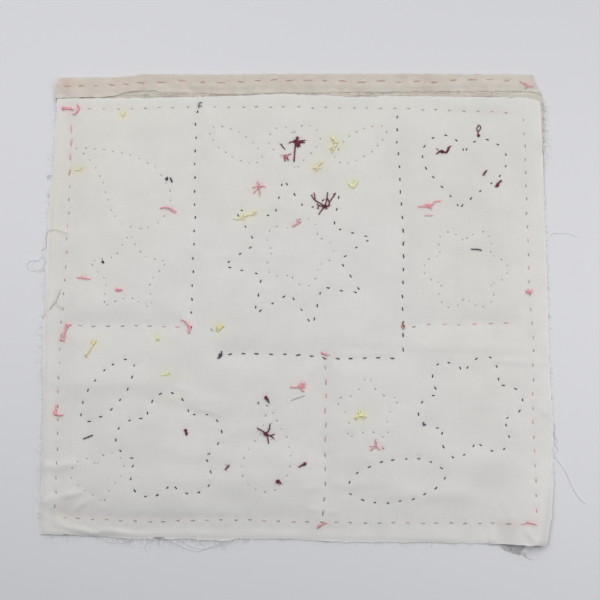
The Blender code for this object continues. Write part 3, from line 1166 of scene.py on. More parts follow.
@dataclass
class ThreadWork:
    """Threads that are made as one mesh, such as all the stitches of one kind."""

    name: str
    seed: int
    meshes: list[bpy.types.Mesh] = field(default_factory=list)
    points: list[np.ndarray] = field(default_factory=list)
    shades: list[Shade] = field(default_factory=list)
    face_shades: list[int] = field(default_factory=list)

    def __post_init__(self) -> None:
        """Starts the piece's own run of chance."""
        self.chance = random.Random(self.seed)

    def strand(self, path: np.ndarray, radii: np.ndarray, shade: Shade, sides: int = 6) -> None:
        """Adds one strand.

        Args:
            path: The strand's middle line, in millimetres.
            radii: Its radius at each point of the path.
            shade: Its colour.
            sides: How many sides it has.
        """
        mesh, ring_of, angle = STRANDS.get(sides, len(path))
        heading = unit_rows(np.gradient(path, axis=0))
        side = unit_rows(np.cross(UP, heading))
        above = np.cross(heading, side)
        reach = radii[ring_of][:, None]
        around = np.cos(angle)[:, None] * side[ring_of] + np.sin(angle)[:, None] * above[ring_of]
        self.points.append(path[ring_of] + reach * around)
        self.meshes.append(mesh)
        if shade not in self.shades:
            self.shades.append(shade)
        self.face_shades += [self.shades.index(shade)] * len(mesh.polygons)

    def thread(
        self, path: np.ndarray, width: float, shades: Sequence[Shade], plies: int = 2, spread: float = 0.0
    ) -> None:
        """Adds a thread of a few strands laid round each other.

        Args:
            path: The thread's middle line, in millimetres.
            width: How wide it is.
            shades: The colours its strands take in turn.
            plies: How many strands it has.
            spread: How far they fan out at the loose end, in millimetres.
        """
        count = len(path)
        reach = lengths_along(path)
        heading = unit_rows(np.gradient(path, axis=0))
        side = np.cross(UP, heading)
        above = np.cross(heading, side)
        strand_width = width / (0.5 + 0.5 * plies)
        taper = np.ones(count)
        taper[[0, -1]] = 0.55
        fan = np.linspace(0, 1, count) ** 2 * spread
        for ply in range(plies):
            turn = 2 * math.pi * ply / plies + reach * 1.5 / max(width, 0.3)
            off = (width - strand_width) / 2
            lean = self.chance.uniform(-1, 1)
            bundle = off * (np.cos(turn)[:, None] * side + 0.6 * np.sin(turn)[:, None] * above)
            moved = path + bundle + (fan * lean)[:, None] * side
            self.strand(moved, strand_width / 2 * taper, shades[ply % len(shades)])

    def build(self) -> bpy.types.Object:
        """Joins the strands into one piece.

        Returns:
            The piece.
        """
        joined = bmesh.new()
        for mesh in self.meshes:
            joined.from_mesh(mesh)
        whole = as_mesh(self.name, joined)
        whole.vertices.foreach_set("co", (np.concatenate(self.points) * MM).ravel())
        for shade in self.shades:
            whole.materials.append(ThreadFinish(shade).material())
        whole.polygons.foreach_set("material_index", self.face_shades)
        whole.shade_smooth()
        whole.update()
        return put_down(bpy.data.objects.new(self.name, whole))


@dataclass(frozen=True)
class StitchStyle:
    """How one kind of running stitch looks, in millimetres."""

    pitch: float
    length: float
    width: float
    pinch: float
    reach: float


BORDER_STYLE = StitchStyle(8.6, 2.4, 0.72, 0.36, 2.0)
BOTTOM_STYLE = StitchStyle(8.6, 2.6, 0.86, 0.36, 2.0)
BRIGHT_STYLE = StitchStyle(9.2, 4.8, 1.05, 0.3, 2.0)
PINK_SEAM_STYLE = StitchStyle(8.8, 2.6, 0.85, 0.36, 2.0)
LOW_SEAM_STYLE = StitchStyle(8.9, 3.5, 0.9, 0.36, 2.0)
BLACK_DOT_STYLE = StitchStyle(8.4, 1.6, 1.0, 0.38, 2.1)
BLACK_DASH_STYLE = StitchStyle(8.5, 2.7, 0.92, 0.38, 2.1)
DARK_QUILT_STYLE = StitchStyle(7.6, 1.9, 0.82, 0.38, 2.1)
PALE_QUILT_STYLE = StitchStyle(5.7, 1.25, 0.72, 0.34, 1.7)

# What each letter of a line's colours stands for: a shade, and a share of the style's length.
STITCH_COLOURS = {
    "c": (Shade.ROSE, 1.25),
    "r": (Shade.DUSTY, 1.1),
    "d": (Shade.MAUVE, 1.0),
    "g": (Shade.GREIGE, 0.9),
    "w": (Shade.PALE, 0.75),
    "b": (Shade.BLACK, 1.0),
}


@dataclass(frozen=True)
class StitchLine:
    """One sewn line, with the colours of its stitches in order."""

    style: StitchStyle
    points: Sequence[Sequence[float]]
    colours: str


@dataclass
class RunningStitch:
    """Lines of running stitch, sewn through the lining."""

    name: str
    seed: int
    stack: ClothStack
    lines: Sequence[StitchLine]
    through: bool = False

    def stitch(
        self, work: ThreadWork, place: np.ndarray, heading: np.ndarray, style: StitchStyle, code: str
    ) -> None:
        """Adds one stitch on top of the lining, and pinches the lining under it.

        Args:
            work: The threads that it joins.
            place: The stitch's middle.
            heading: Its direction.
            style: Its style.
            code: The letter of its colour.
        """
        chance = work.chance
        shade, share = STITCH_COLOURS[code]
        turn = math.atan2(heading[1], heading[0]) + chance.gauss(0, 0.11)
        half = style.length * share * chance.uniform(0.78, 1.22) / 2
        slant = np.array([math.cos(turn), math.sin(turn)])
        aside = np.array([-slant[1], slant[0]])
        middle = place + aside * chance.gauss(0, 0.22) + slant * chance.gauss(0, 0.3)
        ground = self.stack.lining_top(*middle) - style.pinch
        rises = np.array([-0.3, 0.12, 0.22, 0.12, -0.3]) + style.width * 0.22
        shares = (-1, -0.6, 0, 0.6, 1)
        path = [(*(middle + slant * half * t), ground + rise) for t, rise in zip(shares, rises)]
        work.thread(np.array(path), style.width * chance.uniform(0.88, 1.1), (shade,))
        self.stack.pinch(*middle, style.pinch, style.reach)

    def under_stitch(
        self, work: ThreadWork, place: np.ndarray, heading: np.ndarray, style: StitchStyle, code: str
    ) -> None:
        """Adds the same thread's stitch on the hidden side of the face.

        Args:
            work: The threads that it joins.
            place: The stitch's middle.
            heading: Its direction.
            style: Its style.
            code: The letter of its colour.
        """
        slant = heading / max(float(np.linalg.norm(heading)), 1e-6)
        bottom = height_at(self.stack.face, *place) - CLOTH / 2
        path = [
            (*(place + slant * style.length * share), bottom + rise)
            for share, rise in ((-0.6, 0.25), (-0.35, -0.12), (0.35, -0.12), (0.6, 0.25))
        ]
        work.thread(np.array(path), style.width * 0.5, (STITCH_COLOURS[code][0],), 1)

    def build(self) -> bpy.types.Object:
        """Sews all the lines.

        Returns:
            The stitches as one piece.
        """
        work = ThreadWork(self.name, self.seed)
        for line in self.lines:
            places, headings = evenly(np.array(line.points, float), line.style.pitch)
            codes = [line.colours[number % len(line.colours)] for number in range(len(places))]
            for place, heading, code in zip(places, headings, codes):
                self.stitch(work, place, heading, line.style, code)
            if self.through:
                for first, second, heading, code in zip(places, places[1:], headings, codes):
                    self.under_stitch(work, (first + second) / 2, heading, line.style, code)
        return work.build()


class MotifKind(Enum):
    """The plain quilting motifs."""

    STAR = "star"
    DAISY = "daisy"
    LEAF = "leaf"
    HEART = "heart"
    PAISLEY = "paisley"


@dataclass(frozen=True)
class QuiltMotif:
    """One quilting motif sewn in outline."""

    kind: MotifKind
    x: float
    y: float
    size: float
    turn: float
    points: int = 8

    def leaf(self, length: float = 1.0, plump: float = 0.42) -> list[np.ndarray]:
        """Draws a leaf that starts at the middle and points along X.

        Args:
            length: Its length.
            plump: Its width, as a share of the length.

        Returns:
            Its two sides.
        """
        t = np.linspace(0, math.pi, 25)
        half_width = plump * length / 2 * np.sin(t) ** 1.2
        upper = np.stack([length * (1 - np.cos(t)) / 2, half_width], axis=1)
        return [upper, upper * (1, -1)]

    def sides(self) -> list[np.ndarray]:
        """The motif's sides, each sewn from corner to corner.

        Returns:
            Lines of points around the middle, at a size of 1.
        """
        if self.kind is MotifKind.STAR:
            angles = np.arange(2 * self.points + 1) * math.pi / self.points
            radius = np.where(np.arange(len(angles)) % 2, 0.56, 1.0)
            corners = np.stack([radius * np.cos(angles), radius * np.sin(angles)], axis=1)
            return [np.array(pair) for pair in zip(corners, corners[1:])]
        if self.kind is MotifKind.DAISY:
            t = np.linspace(-1, 1, 25)
            radius = 0.64 + 0.36 * np.cos(t * math.pi / 2)
            middles = np.arange(self.points) * 2 * math.pi / self.points
            angles = [middle + t * math.pi / self.points for middle in middles]
            return [np.stack([radius * np.cos(a), radius * np.sin(a)], axis=1) for a in angles]
        if self.kind is MotifKind.LEAF:
            return [side * 2 - (1, 0) for side in self.leaf()]
        if self.kind is MotifKind.HEART:
            t = np.linspace(0, math.pi, 41)
            lobes = 13 * np.cos(t) - 5 * np.cos(2 * t) - 2 * np.cos(3 * t) - np.cos(4 * t)
            half = np.stack([16 * np.sin(t) ** 3, lobes], axis=1) / 17
            return [half, half * (-1, 1)]
        t = np.linspace(0, 2 * math.pi, 97)
        shape = np.stack([np.cos(t), 0.78 * np.sin(t) * np.abs(np.sin(t / 2)) ** 1.4], axis=1)
        shape[:, 1] += 0.55 * np.maximum(shape[:, 0] + 0.1, 0) ** 2
        return [shape]

    def lines(self, style: StitchStyle, colours: str) -> list[StitchLine]:
        """The motif's sewn lines in their place.

        Args:
            style: The style of their stitches.
            colours: The colours of their stitches in order.

        Returns:
            The lines.
        """
        turned = math.radians(self.turn)
        spin = np.array([[math.cos(turned), math.sin(turned)], [-math.sin(turned), math.cos(turned)]])
        placed = [side @ spin * self.size + (self.x, self.y) for side in self.sides()]
        return [
            StitchLine(style, side, colours[number % 3 :] + colours)
            for number, side in enumerate(placed)
        ]


DARK_MOTIFS = (
    QuiltMotif(MotifKind.STAR, 1, 33, 47, 11),
    QuiltMotif(MotifKind.HEART, 104, 86, 28, -6),
    QuiltMotif(MotifKind.DAISY, -76, -86, 33, 22, 5),
    QuiltMotif(MotifKind.LEAF, -114, -52, 23, 52),
    QuiltMotif(MotifKind.DAISY, 105, -62, 32, 8, 6),
    QuiltMotif(MotifKind.LEAF, 60, -106, 30, 9),
)
PALE_MOTIFS = (
    QuiltMotif(MotifKind.DAISY, 1, 33, 22, 0, 5),
    QuiltMotif(MotifKind.LEAF, -38, 101, 19, -32),
    QuiltMotif(MotifKind.LEAF, 40, 101, 19, 34),
    QuiltMotif(MotifKind.HEART, -1, 101, 17, 4),
    QuiltMotif(MotifKind.PAISLEY, -104, 80, 34, 118),
    QuiltMotif(MotifKind.STAR, -103, 19, 25, 18, 5),
    QuiltMotif(MotifKind.DAISY, 104, 22, 26, 0, 6),
    QuiltMotif(MotifKind.HEART, -118, -103, 17, 12),
    QuiltMotif(MotifKind.PAISLEY, -14, -88, 25, 66),
    QuiltMotif(MotifKind.STAR, 43, -64, 21, 18, 5),
)
DARK_QUILT_COLOURS = "b"
PALE_QUILT_COLOURS = "wgwwgwrwdwwgrw"


@dataclass(frozen=True)
class Knot:
    """A knot on the back of the sewing, with its thread ends as paths from its middle."""

    x: float
    y: float
    core: float
    shades: tuple[Shade, ...]
    tails: tuple[Table, ...] = ()
    width: float = 0.75
    plies: int = 2
    spread: float = 0.0


FUZZ_COUNT = 6
REDS = (Shade.CLARET, Shade.WINE)
RED_ENDS = (Shade.CLARET, Shade.CLARET)
CORALS = (Shade.CORAL, Shade.ROSE)
YELLOWS = (Shade.CHARTREUSE, Shade.STRAW)
KNOTS = (
    # The two large claret knots at the top middle.
    Knot(-0.5, 102.8, 1.1, REDS, (
        ((0, 0), (-0.4, -5.7), (-1.0, -13.3)), ((0, 0), (-2, -0.2), (-4.1, -0.8)),
        ((0, 0), (0.5, 1.6), (1.0, 3.4)), ((0.4, 0.8), (1.2, 1.6), (2.1, 2.6)),
        ((0, 0), (3, 0.3), (6.1, 0.7)), ((0, 0), (3, -0.6), (6.0, -0.8)),
    ), 0.85),
    Knot(0.8, 101.4, 1.2, RED_ENDS, (
        ((0, 0), (0.9, -1.1), (1.6, -2.0)), ((0, 0), (0.2, -1.2), (0.1, -2.4)),
        ((0, 0), (1.6, 0.3), (2.6, 1.2)),
    ), 1.0),
    Knot(17.5, 61.4, 1.1, REDS, (
        ((0, 0), (-2.8, 1.8), (-5.6, 3.6), (-6.0, 6.0), (-6.5, 8.7)),
        ((0, 0), (-2.8, 1.9), (-5.8, 3.8), (-7.2, 5.4), (-8.4, 7.4)),
        ((0, 0), (0.9, 2.5), (1.4, 5.2), (1.9, 9.0)),
        ((0, 0), (2.5, 0.3), (3.1, 2.7), (5.2, 5.8), (6.7, 7.9)),
        ((0, 0), (2.4, -0.2), (3.0, 2.0), (1.6, 5.6)),
        ((0, 0), (-2.0, 0.1), (-4.0, 0.6), (-4.6, 1.6)), ((-4.0, 0.6), (-4.1, -0.6), (-3.9, -1.9)),
        ((0, 0), (-1.8, -2.6), (-3.8, -5.3)), ((-1.4, 0.8), (0.4, -0.4), (1.6, -1.7)),
    ), 0.7),
    # Claret ends in the right-hand patch.
    Knot(90.7, 96.2, 0.9, REDS, (
        ((-3.6, -1.7), (-0.8, 0), (1.6, -0.8), (3.5, 0.8), (3.9, 2.4), (5.9, 3.7)),
        ((-3.4, -1.4), (-0.5, 0.6), (1.4, 0.1), (2.7, -1.0), (4.3, 1.0), (4.6, 2.6)),
        ((-2.8, 1.7), (-2.2, 1.0)),
    ), 0.7),
    Knot(113.9, 106.5, 0.8, REDS, (
        ((0, 0), (-0.5, 3.1), (-1.0, 4.7), (0.4, 6.8), (1.5, 5.6), (0.7, 3.5), (-0.2, 2.2)),
    ), 0.6),
    Knot(117.2, 82.5, 0.0, REDS, (((-1.2, -1.6), (0, 0.2), (1.3, 1.7)),), 0.95),
    Knot(125.0, 75.0, 0.75, REDS, (
        ((-1.6, -1.4), (0.6, 1.0), (2.6, 3.0)), ((-0.4, -1.6), (0.3, 0.4), (1.4, 2.0)),
    ), 0.95),
    # Claret knots in the low patches.
    Knot(-18.4, -78.2, 1.1, REDS, (
        ((0, 0), (-2.2, 1.9), (-5.2, 3.4)), ((0, 0), (2.0, 2.2), (2.6, 5.9)),
        ((0, 0), (2.6, -1.0), (5.4, -0.2)), ((1.8, -0.8), (3.6, -1.6), (5.0, -3.0)),
        ((0, 0), (1.2, -2.2), (1.8, -5.9)),
    ), 0.75),
    Knot(-18.3, -56.6, 0.75, REDS, (((0, 0), (0.9, -1.2), (2.0, -3.2)), ((0, 0.4), (1.6, -1.6))), 0.95),
    Knot(-66.4, -76.2, 0.6, REDS, (((0, 0.8), (0.1, -1.2), (0.6, -3.2)), ((0.3, 0), (0.9, -2.4))), 0.9),
    Knot(-41.2, -98.0, 0.0, REDS, (((-1.3, -1.5), (0, 0), (1.3, 1.5)),), 0.9),
    Knot(5.0, -96.0, 0.7, REDS, (((-3.6, -2.0), (-1.6, -0.8), (1.0, 0.4)),), 0.95),
    Knot(-10.9, -106.4, 0.8, REDS, (((-0.8, -0.2), (0.6, 0), (1.8, -1.2)),), 1.2),
    # Coral knots and ends.
    Knot(-23.1, 74.1, 0.8, CORALS, (
        ((0, 0), (-2.2, -0.2), (-4.1, -1.2)), ((0, 0), (-0.4, 1.6), (-0.8, 3.0)),
        ((0, 0), (2.0, 0.2), (3.9, -0.6)), ((0, 0), (0.3, -3.0), (0.5, -5.9)),
        ((0, 0), (-1.6, -2.2), (-3.5, -4.6)),
    ), 0.8),
    Knot(-6.4, 92.8, 0.9, (Shade.CORAL, Shade.CLARET), (
        ((-1.6, 1.4), (0.2, -0.2), (1.9, -2.1)), ((0, 0.4), (1.6, 1.4), (3.0, 1.8)),
        ((-1.0, 0), (-1.2, -1.4), (-0.4, -2.8)),
    ), 0.85),
    Knot(-8.4, 99.4, 0.0, (Shade.WINE,), (((-1.6, 2.0), (0, 0), (1.5, -1.7)),), 0.6),
    Knot(0.4, 50.2, 0.0, CORALS, (
        ((-2.4, -1.6), (0, 0), (2.6, 1.4)), ((0.4, 0.2), (0.6, 1.6), (0.3, 3.2)),
    ), 0.9),
    Knot(-79.5, 59.8, 0.0, CORALS, (((-4.9, 0.2), (-2.0, 1.0), (1.5, 0.3), (5.1, -2.0)),), 1.0),
    Knot(-77.0, 58.6, 0.0, CORALS, (((-0.6, 0.4), (2.6, -1.2)),), 0.9),
    Knot(-130.3, 16.5, 0.0, CORALS, (
        ((-4.4, 0.3), (-1.5, 0.2), (1.0, -0.2), (4.3, -0.8)), ((-2.2, 0.8), (2.0, 0)),
    ), 0.85),
    Knot(-108.6, 9.1, 0.0, CORALS, (((-2.0, 0.1), (0, 0.3), (2.0, -0.2)), ((-1.7, -0.5), (1.8, 0.4))), 1.3),
    Knot(2.8, -49.9, 1.2, CORALS, (
        ((0, 0), (-3.2, -0.4), (-6.6, -0.3)), ((0, 0), (1.2, 1.2), (2.4, 2.2)),
        ((0, 0), (0.6, -1.6), (1.9, -3.2)), ((0, 0), (1.6, 0.2), (2.6, -0.6)),
        ((0, 0), (-0.2, 1.2), (0.8, 2.4)),
    ), 0.95),
    Knot(47.6, -85.7, 0.0, CORALS, (
        ((-3.0, -2.5), (-1.4, -0.6), (0, 0.8)), ((0, 0.8), (1.2, -0.8), (2.2, -2.3)),
        ((-0.2, 4.0), (0, 2.6), (0.2, 1.6)), ((3.6, -1.2), (4.8, -0.6)), ((-3.6, 0.2), (-2.6, 0)),
    ), 0.8),
    Knot(81.8, 61.6, 1.0, CORALS, (
        ((0, 0), (-3.2, -0.4), (-6.4, -0.6)), ((0, 0), (2.2, 0.8), (4.6, 2.9), (7.8, 2.8)),
        ((-1.6, 0.8), (0.2, 0.4), (1.6, -1.6)), ((-2.4, 0), (0, 1.0), (2.4, 0.6)),
    ), 0.9),
    Knot(81.9, 55.5, 0.0, (Shade.ROSE,), (((-2.6, 0), (0, 0.1), (2.7, 0)),), 0.65),
    Knot(142.6, 8.0, 0.0, CORALS, (
        ((-1.8, 0), (0, 0.4), (2.0, 0.3)), ((-1.5, -0.6), (1.8, -0.2)), ((-1.0, 0.6), (1.2, 0.8)),
    ), 1.2),
    Knot(-142.3, 124.7, 0.0, CORALS, (
        ((-5.2, -0.6), (-1.5, -0.3), (2.2, -1.2)), ((-5.0, 0.2), (-1.8, 0.5), (1.8, -0.8)),
        ((4.6, 2.3), (5.5, 0.6), (5.5, -0.6), (3.6, -3.8), (1.8, -3.6)),
        ((4.9, 1.0), (5.8, -0.2), (4.6, -2.4)),
    ), 1.15),
    Knot(-139.8, -12.6, 0.9, CORALS, (
        ((2.8, 0.4), (0, 0), (-1.2, -3.0), (-1.9, -6.0), (-2.6, -9.4)),
        ((0.6, 0.2), (-0.6, -3.4), (-1.4, -7.0)), ((-4.4, -8.4), (-2.6, -9.0), (-1.0, -8.0)),
        ((-3.8, -9.8), (-2.2, -8.2), (-1.4, -10.2)),
    ), 0.85),
    Knot(-145.0, -66.4, 0.5, CORALS, (
        ((0.4, 5.6), (0, 2.0), (0.4, 0)), ((0.4, 0), (2.4, -0.6), (4.6, -0.4)),
        ((-1.0, 2.2), (-0.4, 0.4), (0.8, -0.2)),
    ), 1.1),
    Knot(-64.8, -13.4, 0.7, CORALS, (
        ((0, 0), (-1.8, 1.4), (-3.4, 3.4), (-5.8, 4.2)), ((0.4, 0.8), (0, -2.0), (-0.8, -4.4)),
        ((0.8, 0.6), (-0.6, -1.8), (-0.4, -3.8)),
    ), 1.0),
    Knot(-64.5, -13.8, 0.55, (Shade.WINE,), (), 0.7),
    Knot(65.2, -13.5, 0.9, (Shade.ROSE, Shade.CLARET), (((0, 0.9), (0.2, -0.6), (0, -1.5)),), 1.0),
    Knot(17.2, -30.2, 0.0, CORALS, (
        ((-2.4, 0.8), (0, 0), (2.2, -0.8)), ((-1.8, 1.0), (1.4, -0.2)),
    ), 0.95),
    Knot(15.3, -131.6, 0.0, CORALS, (
        ((-2.9, -2.3), (-0.4, 0.2), (2.9, 1.1)), ((-2.4, -1.4), (0.4, 0.8)),
    ), 0.95),
    Knot(138.7, -130.7, 0.0, CORALS, (((-2.8, 0.6), (0, 0.1), (2.8, -0.6)),), 0.8),
    # Yellow floss ends.
    Knot(22.9, 102.7, 0.0, YELLOWS, (
        ((-0.4, 3.4), (0.6, 1.6), (2.0, -0.4), (2.0, -1.6)),
        ((2.0, -1.6), (0.6, -3.6), (-2.0, -5.8)), ((-1.0, 2.6), (1.0, 1.0), (2.4, -1.4)),
    ), 1.1, 4, 1.4),
    Knot(12.8, 86.6, 0.0, (Shade.STRAW, Shade.STRAW), (
        ((-2.8, -1.2), (0, 0), (1.6, 2.6), (3.3, 3.9)), ((0, 0), (0.4, -1.6), (0.2, -3.1)),
        ((0, 0), (1.4, -1.4), (3.0, -1.4)),
    ), 0.9, 4, 1.2),
    Knot(35.2, 75.1, 0.0, YELLOWS, (
        ((-2.9, 1.2), (-0.9, -0.9), (1.2, -0.2), (2.2, 3.2)), ((-1.6, -0.4), (0.4, -1.0), (1.8, 1.0)),
    ), 1.3, 4, 1.0),
    Knot(-31.8, 55.4, 0.0, YELLOWS, (
        ((-6.8, -2.0), (-3.6, -1.6), (-0.4, -0.6)), ((-1.0, -0.4), (2.4, 0.8), (7.2, 2.8)),
    ), 1.0, 4, 1.2),
    Knot(-46.7, -14.3, 0.9, (Shade.OLIVE, Shade.CHARTREUSE), (
        ((-1.4, -2.2), (0, 0), (1.2, 2.2)), ((-1.8, -0.4), (0.4, 0.6), (1.8, 1.2)),
    ), 1.2, 3, 0.8),
    Knot(-51.2, -15.6, 0.0, (Shade.GREIGE,), (((-0.9, 0.9), (0, 0), (0.6, -0.6)),), 0.6),
    Knot(-84.3, -20.4, 0.0, YELLOWS, (((-0.2, 1.4), (0.1, 0), (0, -1.6)),), 0.9, 3, 0.6),
    Knot(-123.2, -23.6, 0.7, (Shade.STRAW, Shade.OLIVE), (
        ((0, 0), (-1.6, -3.2), (-5.2, -8.2)), ((-1.4, 0.2), (1.0, 0.6), (2.4, 1.8)),
        ((0, 0.2), (0.4, 1.6), (-0.4, 2.4)),
    ), 0.8, 3, 0.8),
    Knot(-78.7, -42.5, 0.0, YELLOWS, (((-3.4, -0.8), (0, 0), (2.0, 0.6)),), 0.7, 3, 0.6),
    Knot(38.5, -67.4, 0.7, (Shade.CHARTREUSE, Shade.OLIVE), (
        ((0, 0), (-1.8, -0.4), (-3.0, -2.2)), ((0, 0), (1.6, -0.2), (2.8, -1.8)),
        ((0, 0), (-0.6, 1.6), (0.2, 3.0)), ((0, 0), (1.2, 1.0), (2.2, 1.6)),
    ), 1.0, 3, 0.8),
    Knot(-108.4, 120.5, 0.0, YELLOWS, (
        ((-0.6, 1.6), (0.2, 0.2), (0, -1.6)), ((-1.4, 0.8), (0.6, 0.2)),
    ), 0.9, 3, 0.7),
    Knot(-136.1, 84.8, 0.0, YELLOWS, (
        ((-1.6, -0.4), (0, 0.2), (1.8, 0.6)), ((1.0, 0.6), (3.2, 1.6)),
    ), 0.8, 3, 0.6),
    # Black and navy ends.
    Knot(-61.3, 126.9, 0.0, (Shade.BLACK, Shade.GREIGE), (
        ((0, -2.2), (-0.4, 0.2), (0.6, 1.4), (2.2, 1.6)), ((0.2, 0), (1.4, -0.6)),
    ), 0.7),
    Knot(-81.5, -139.2, 0.0, (Shade.GREIGE,), (((-3.1, 0), (0, 0.1), (3.1, 0)),), 0.8),
    Knot(-80.6, 78.8, 0.6, (Shade.NAVY,), (
        ((0.3, 1.5), (0, 0), (0.2, -1.3)), ((-1.0, 0.2), (0.8, 0.6)),
    ), 0.75),
    Knot(-77.8, 78.3, 0.0, (Shade.NAVY,), (((-0.6, 1.5), (0, 0), (0.7, -1.6)),), 1.0),
    Knot(-118.9, 26.5, 0.55, (Shade.BLACK,), (((-0.3, 0.9), (0.3, -1.0)),), 0.8),
    Knot(-125.0, -80.1, 0.0, (Shade.BLACK,), (((-3.0, -1.2), (-0.4, -0.2), (3.1, 1.3)),), 0.75),
    Knot(110.8, 34.0, 0.0, (Shade.BLACK,), (((-3.4, 0.3), (1.0, 0.2), (3.4, -0.5)),), 0.8),
    Knot(76.4, -72.4, 0.0, (Shade.BLACK,), (((0, 1.1), (0.1, -1.1)),), 1.0),
    Knot(-46.3, -30.8, 0.6, (Shade.BLACK,), (
        ((0.8, 2.4), (0.9, 0.4), (0, -1.2), (-1.8, -2.0)), ((0.4, 0.8), (-0.8, -1.8)),
    ), 0.95),
    Knot(-22.9, -59.9, 0.0, (Shade.NAVY,), (((0, 0.8), (0.1, -0.6)),), 0.7),
    Knot(1.0, -56.8, 0.0, (Shade.PALE,), (((-4.2, -1.5), (0, 0.2), (4.4, 1.6)),), 0.4, 1),
)


@dataclass
class KnotWork:
    """The knots and loose thread ends that lie on the lining."""

    stack: ClothStack
    seed: int = 41

    def laid(self, knot: Knot, tail: Table, chance: random.Random) -> np.ndarray:
        """Lays one thread end on the cloth.

        Args:
            knot: The knot it belongs to.
            tail: Its points, from the knot's middle.
            chance: Gives the small rises along it.

        Returns:
            Its path in millimetres.
        """
        flat = smooth_path([(knot.x + dx, knot.y + dy) for dx, dy in tail], 0.8)
        rise = knot.width * 0.42 + 0.25 * chance.random() * np.sin(np.linspace(0, math.pi, len(flat)))
        ground = self.stack.lining(flat[:, 0], flat[:, 1]) + CLOTH / 2
        return np.column_stack([flat, ground + rise])

    def fuzz(self, work: ThreadWork, knot: Knot, path: np.ndarray) -> None:
        """Adds the fine fibres that stand off a thread end.

        Args:
            work: The threads that they join.
            knot: The knot it belongs to.
            path: The thread end's path.
        """
        for _ in range(FUZZ_COUNT):
            start = path[work.chance.randrange(len(path))]
            turn = work.chance.uniform(0, 2 * math.pi)
            reach = work.chance.uniform(0.9, 2.4)
            steps = np.linspace(0, 1, 4)[:, None]
            curl = work.chance.uniform(-0.5, 0.5) * reach * steps**2
            ahead = np.array([math.cos(turn), math.sin(turn), 0.0])
            aside = np.array([-math.sin(turn), math.cos(turn), 0.0])
            hair = start + ahead * reach * steps + aside * curl
            hair[:, 2] -= 0.35 * knot.width * steps[:, 0]
            work.strand(hair, np.linspace(0.06, 0.035, 4), work.chance.choice(knot.shades), 3)

    def core(self, work: ThreadWork, knot: Knot, boldness: float) -> None:
        """Adds the knot itself, a thread wound through three loops.

        Args:
            work: The threads that it joins.
            knot: The knot.
            boldness: How much thicker its thread is than the knot says.
        """
        t = np.linspace(0, 2 * math.pi, 25)
        spin = work.chance.uniform(0, 2 * math.pi)
        radius = knot.core * (0.62 + 0.38 * np.cos(3 * t))
        ground = self.stack.lining_top(knot.x, knot.y) + 0.45 * knot.core
        path = np.column_stack([
            knot.x + radius * np.cos(2 * t + spin),
            knot.y + radius * np.sin(2 * t + spin),
            ground + 0.42 * knot.core * np.sin(3 * t),
        ])
        work.thread(path, knot.width * boldness, knot.shades, 2)

    def build(self) -> list[bpy.types.Object]:
        """Ties all the knots, one piece for each family of colour.

        Returns:
            The pieces.
        """
        pieces = []
        for number, (name, (family, boldness)) in enumerate(KNOT_FAMILIES.items()):
            work = ThreadWork(name, self.seed + number)
            for knot in (k for k in KNOTS if k.shades[0] in family):
                if knot.core:
                    self.core(work, knot, boldness)
                for tail in knot.tails:
                    path = self.laid(knot, tail, work.chance)
                    spread = FLOSS_SPREAD * knot.spread
                    work.thread(path, knot.width * boldness, knot.shades, knot.plies, spread)
                    if name != "dark_knots":
                        self.fuzz(work, knot, path)
                self.stack.pinch(knot.x, knot.y, 0.25, 2.2)
            pieces.append(work.build())
        return pieces


# Each piece of knots: the shades that belong to it, and how much thicker its threads are than the
# table says. A loose end's plies fan out further than the table says by the last number.
KNOT_FAMILIES = {
    "claret_knots": (REDS, 1.15),
    "coral_knots": (CORALS, 1.05),
    "yellow_knots": ((*YELLOWS, Shade.OLIVE), 1.05),
    "dark_knots": ((Shade.BLACK, Shade.NAVY, Shade.PALE, Shade.GREIGE), 1.15),
}
FLOSS_SPREAD = 1.9


@dataclass
class HemStitching:
    """The long pink stitches that hold the hem down, and the tangle at their end."""

    face: FaceCloth
    seed: int = 77

    def build(self) -> bpy.types.Object:
        """Sews the hem.

        Returns:
            The stitches as one piece.
        """
        work = ThreadWork("hem_running_stitch", self.seed)
        shades = (Shade.BRICK, Shade.DUSTY, Shade.BRICK, Shade.BRICK)
        for x, y, length in HEM_STITCHES:
            lean = work.chance.uniform(-0.35, 0.35)
            path = []
            for share, rise in ((-1, -0.35), (-0.7, 0.1), (0, 0.26), (0.7, 0.1), (1, -0.35)):
                place = (x + share * length / 2, y + share * lean)
                path.append((*place, self.face.hem_top(*place) + rise))
            work.thread(np.array(path), 0.85, (work.chance.choice(shades),))
        for tail in HEM_TANGLE:
            flat = smooth_path(tail, 0.9)
            path = [(x, y, self.face.hem_top(x, y) + 0.4) for x, y in flat]
            work.thread(np.array(path), 0.8, (Shade.ROSE, Shade.ROSE))
        return work.build()


HEM_TANGLE = (
    ((140.6, 142.2), (142.2, 141.2), (143.8, 140.6), (144.4, 138.6), (144.6, 136.8)),
    ((143.4, 141.0), (145.0, 140.6), (146.2, 138.8), (149.8, 139.2)),
    ((145.0, 137.8), (146.6, 139.6), (148.2, 138.6)),
)


@dataclass(frozen=True)
class RawEdge:
    """A stretch of cut edge with its frayed threads."""

    table: Table
    outward: Point
    start: float
    end: float
    count: int
    longest: float
    level: float
    shade: Shade
    radius: float = 0.07


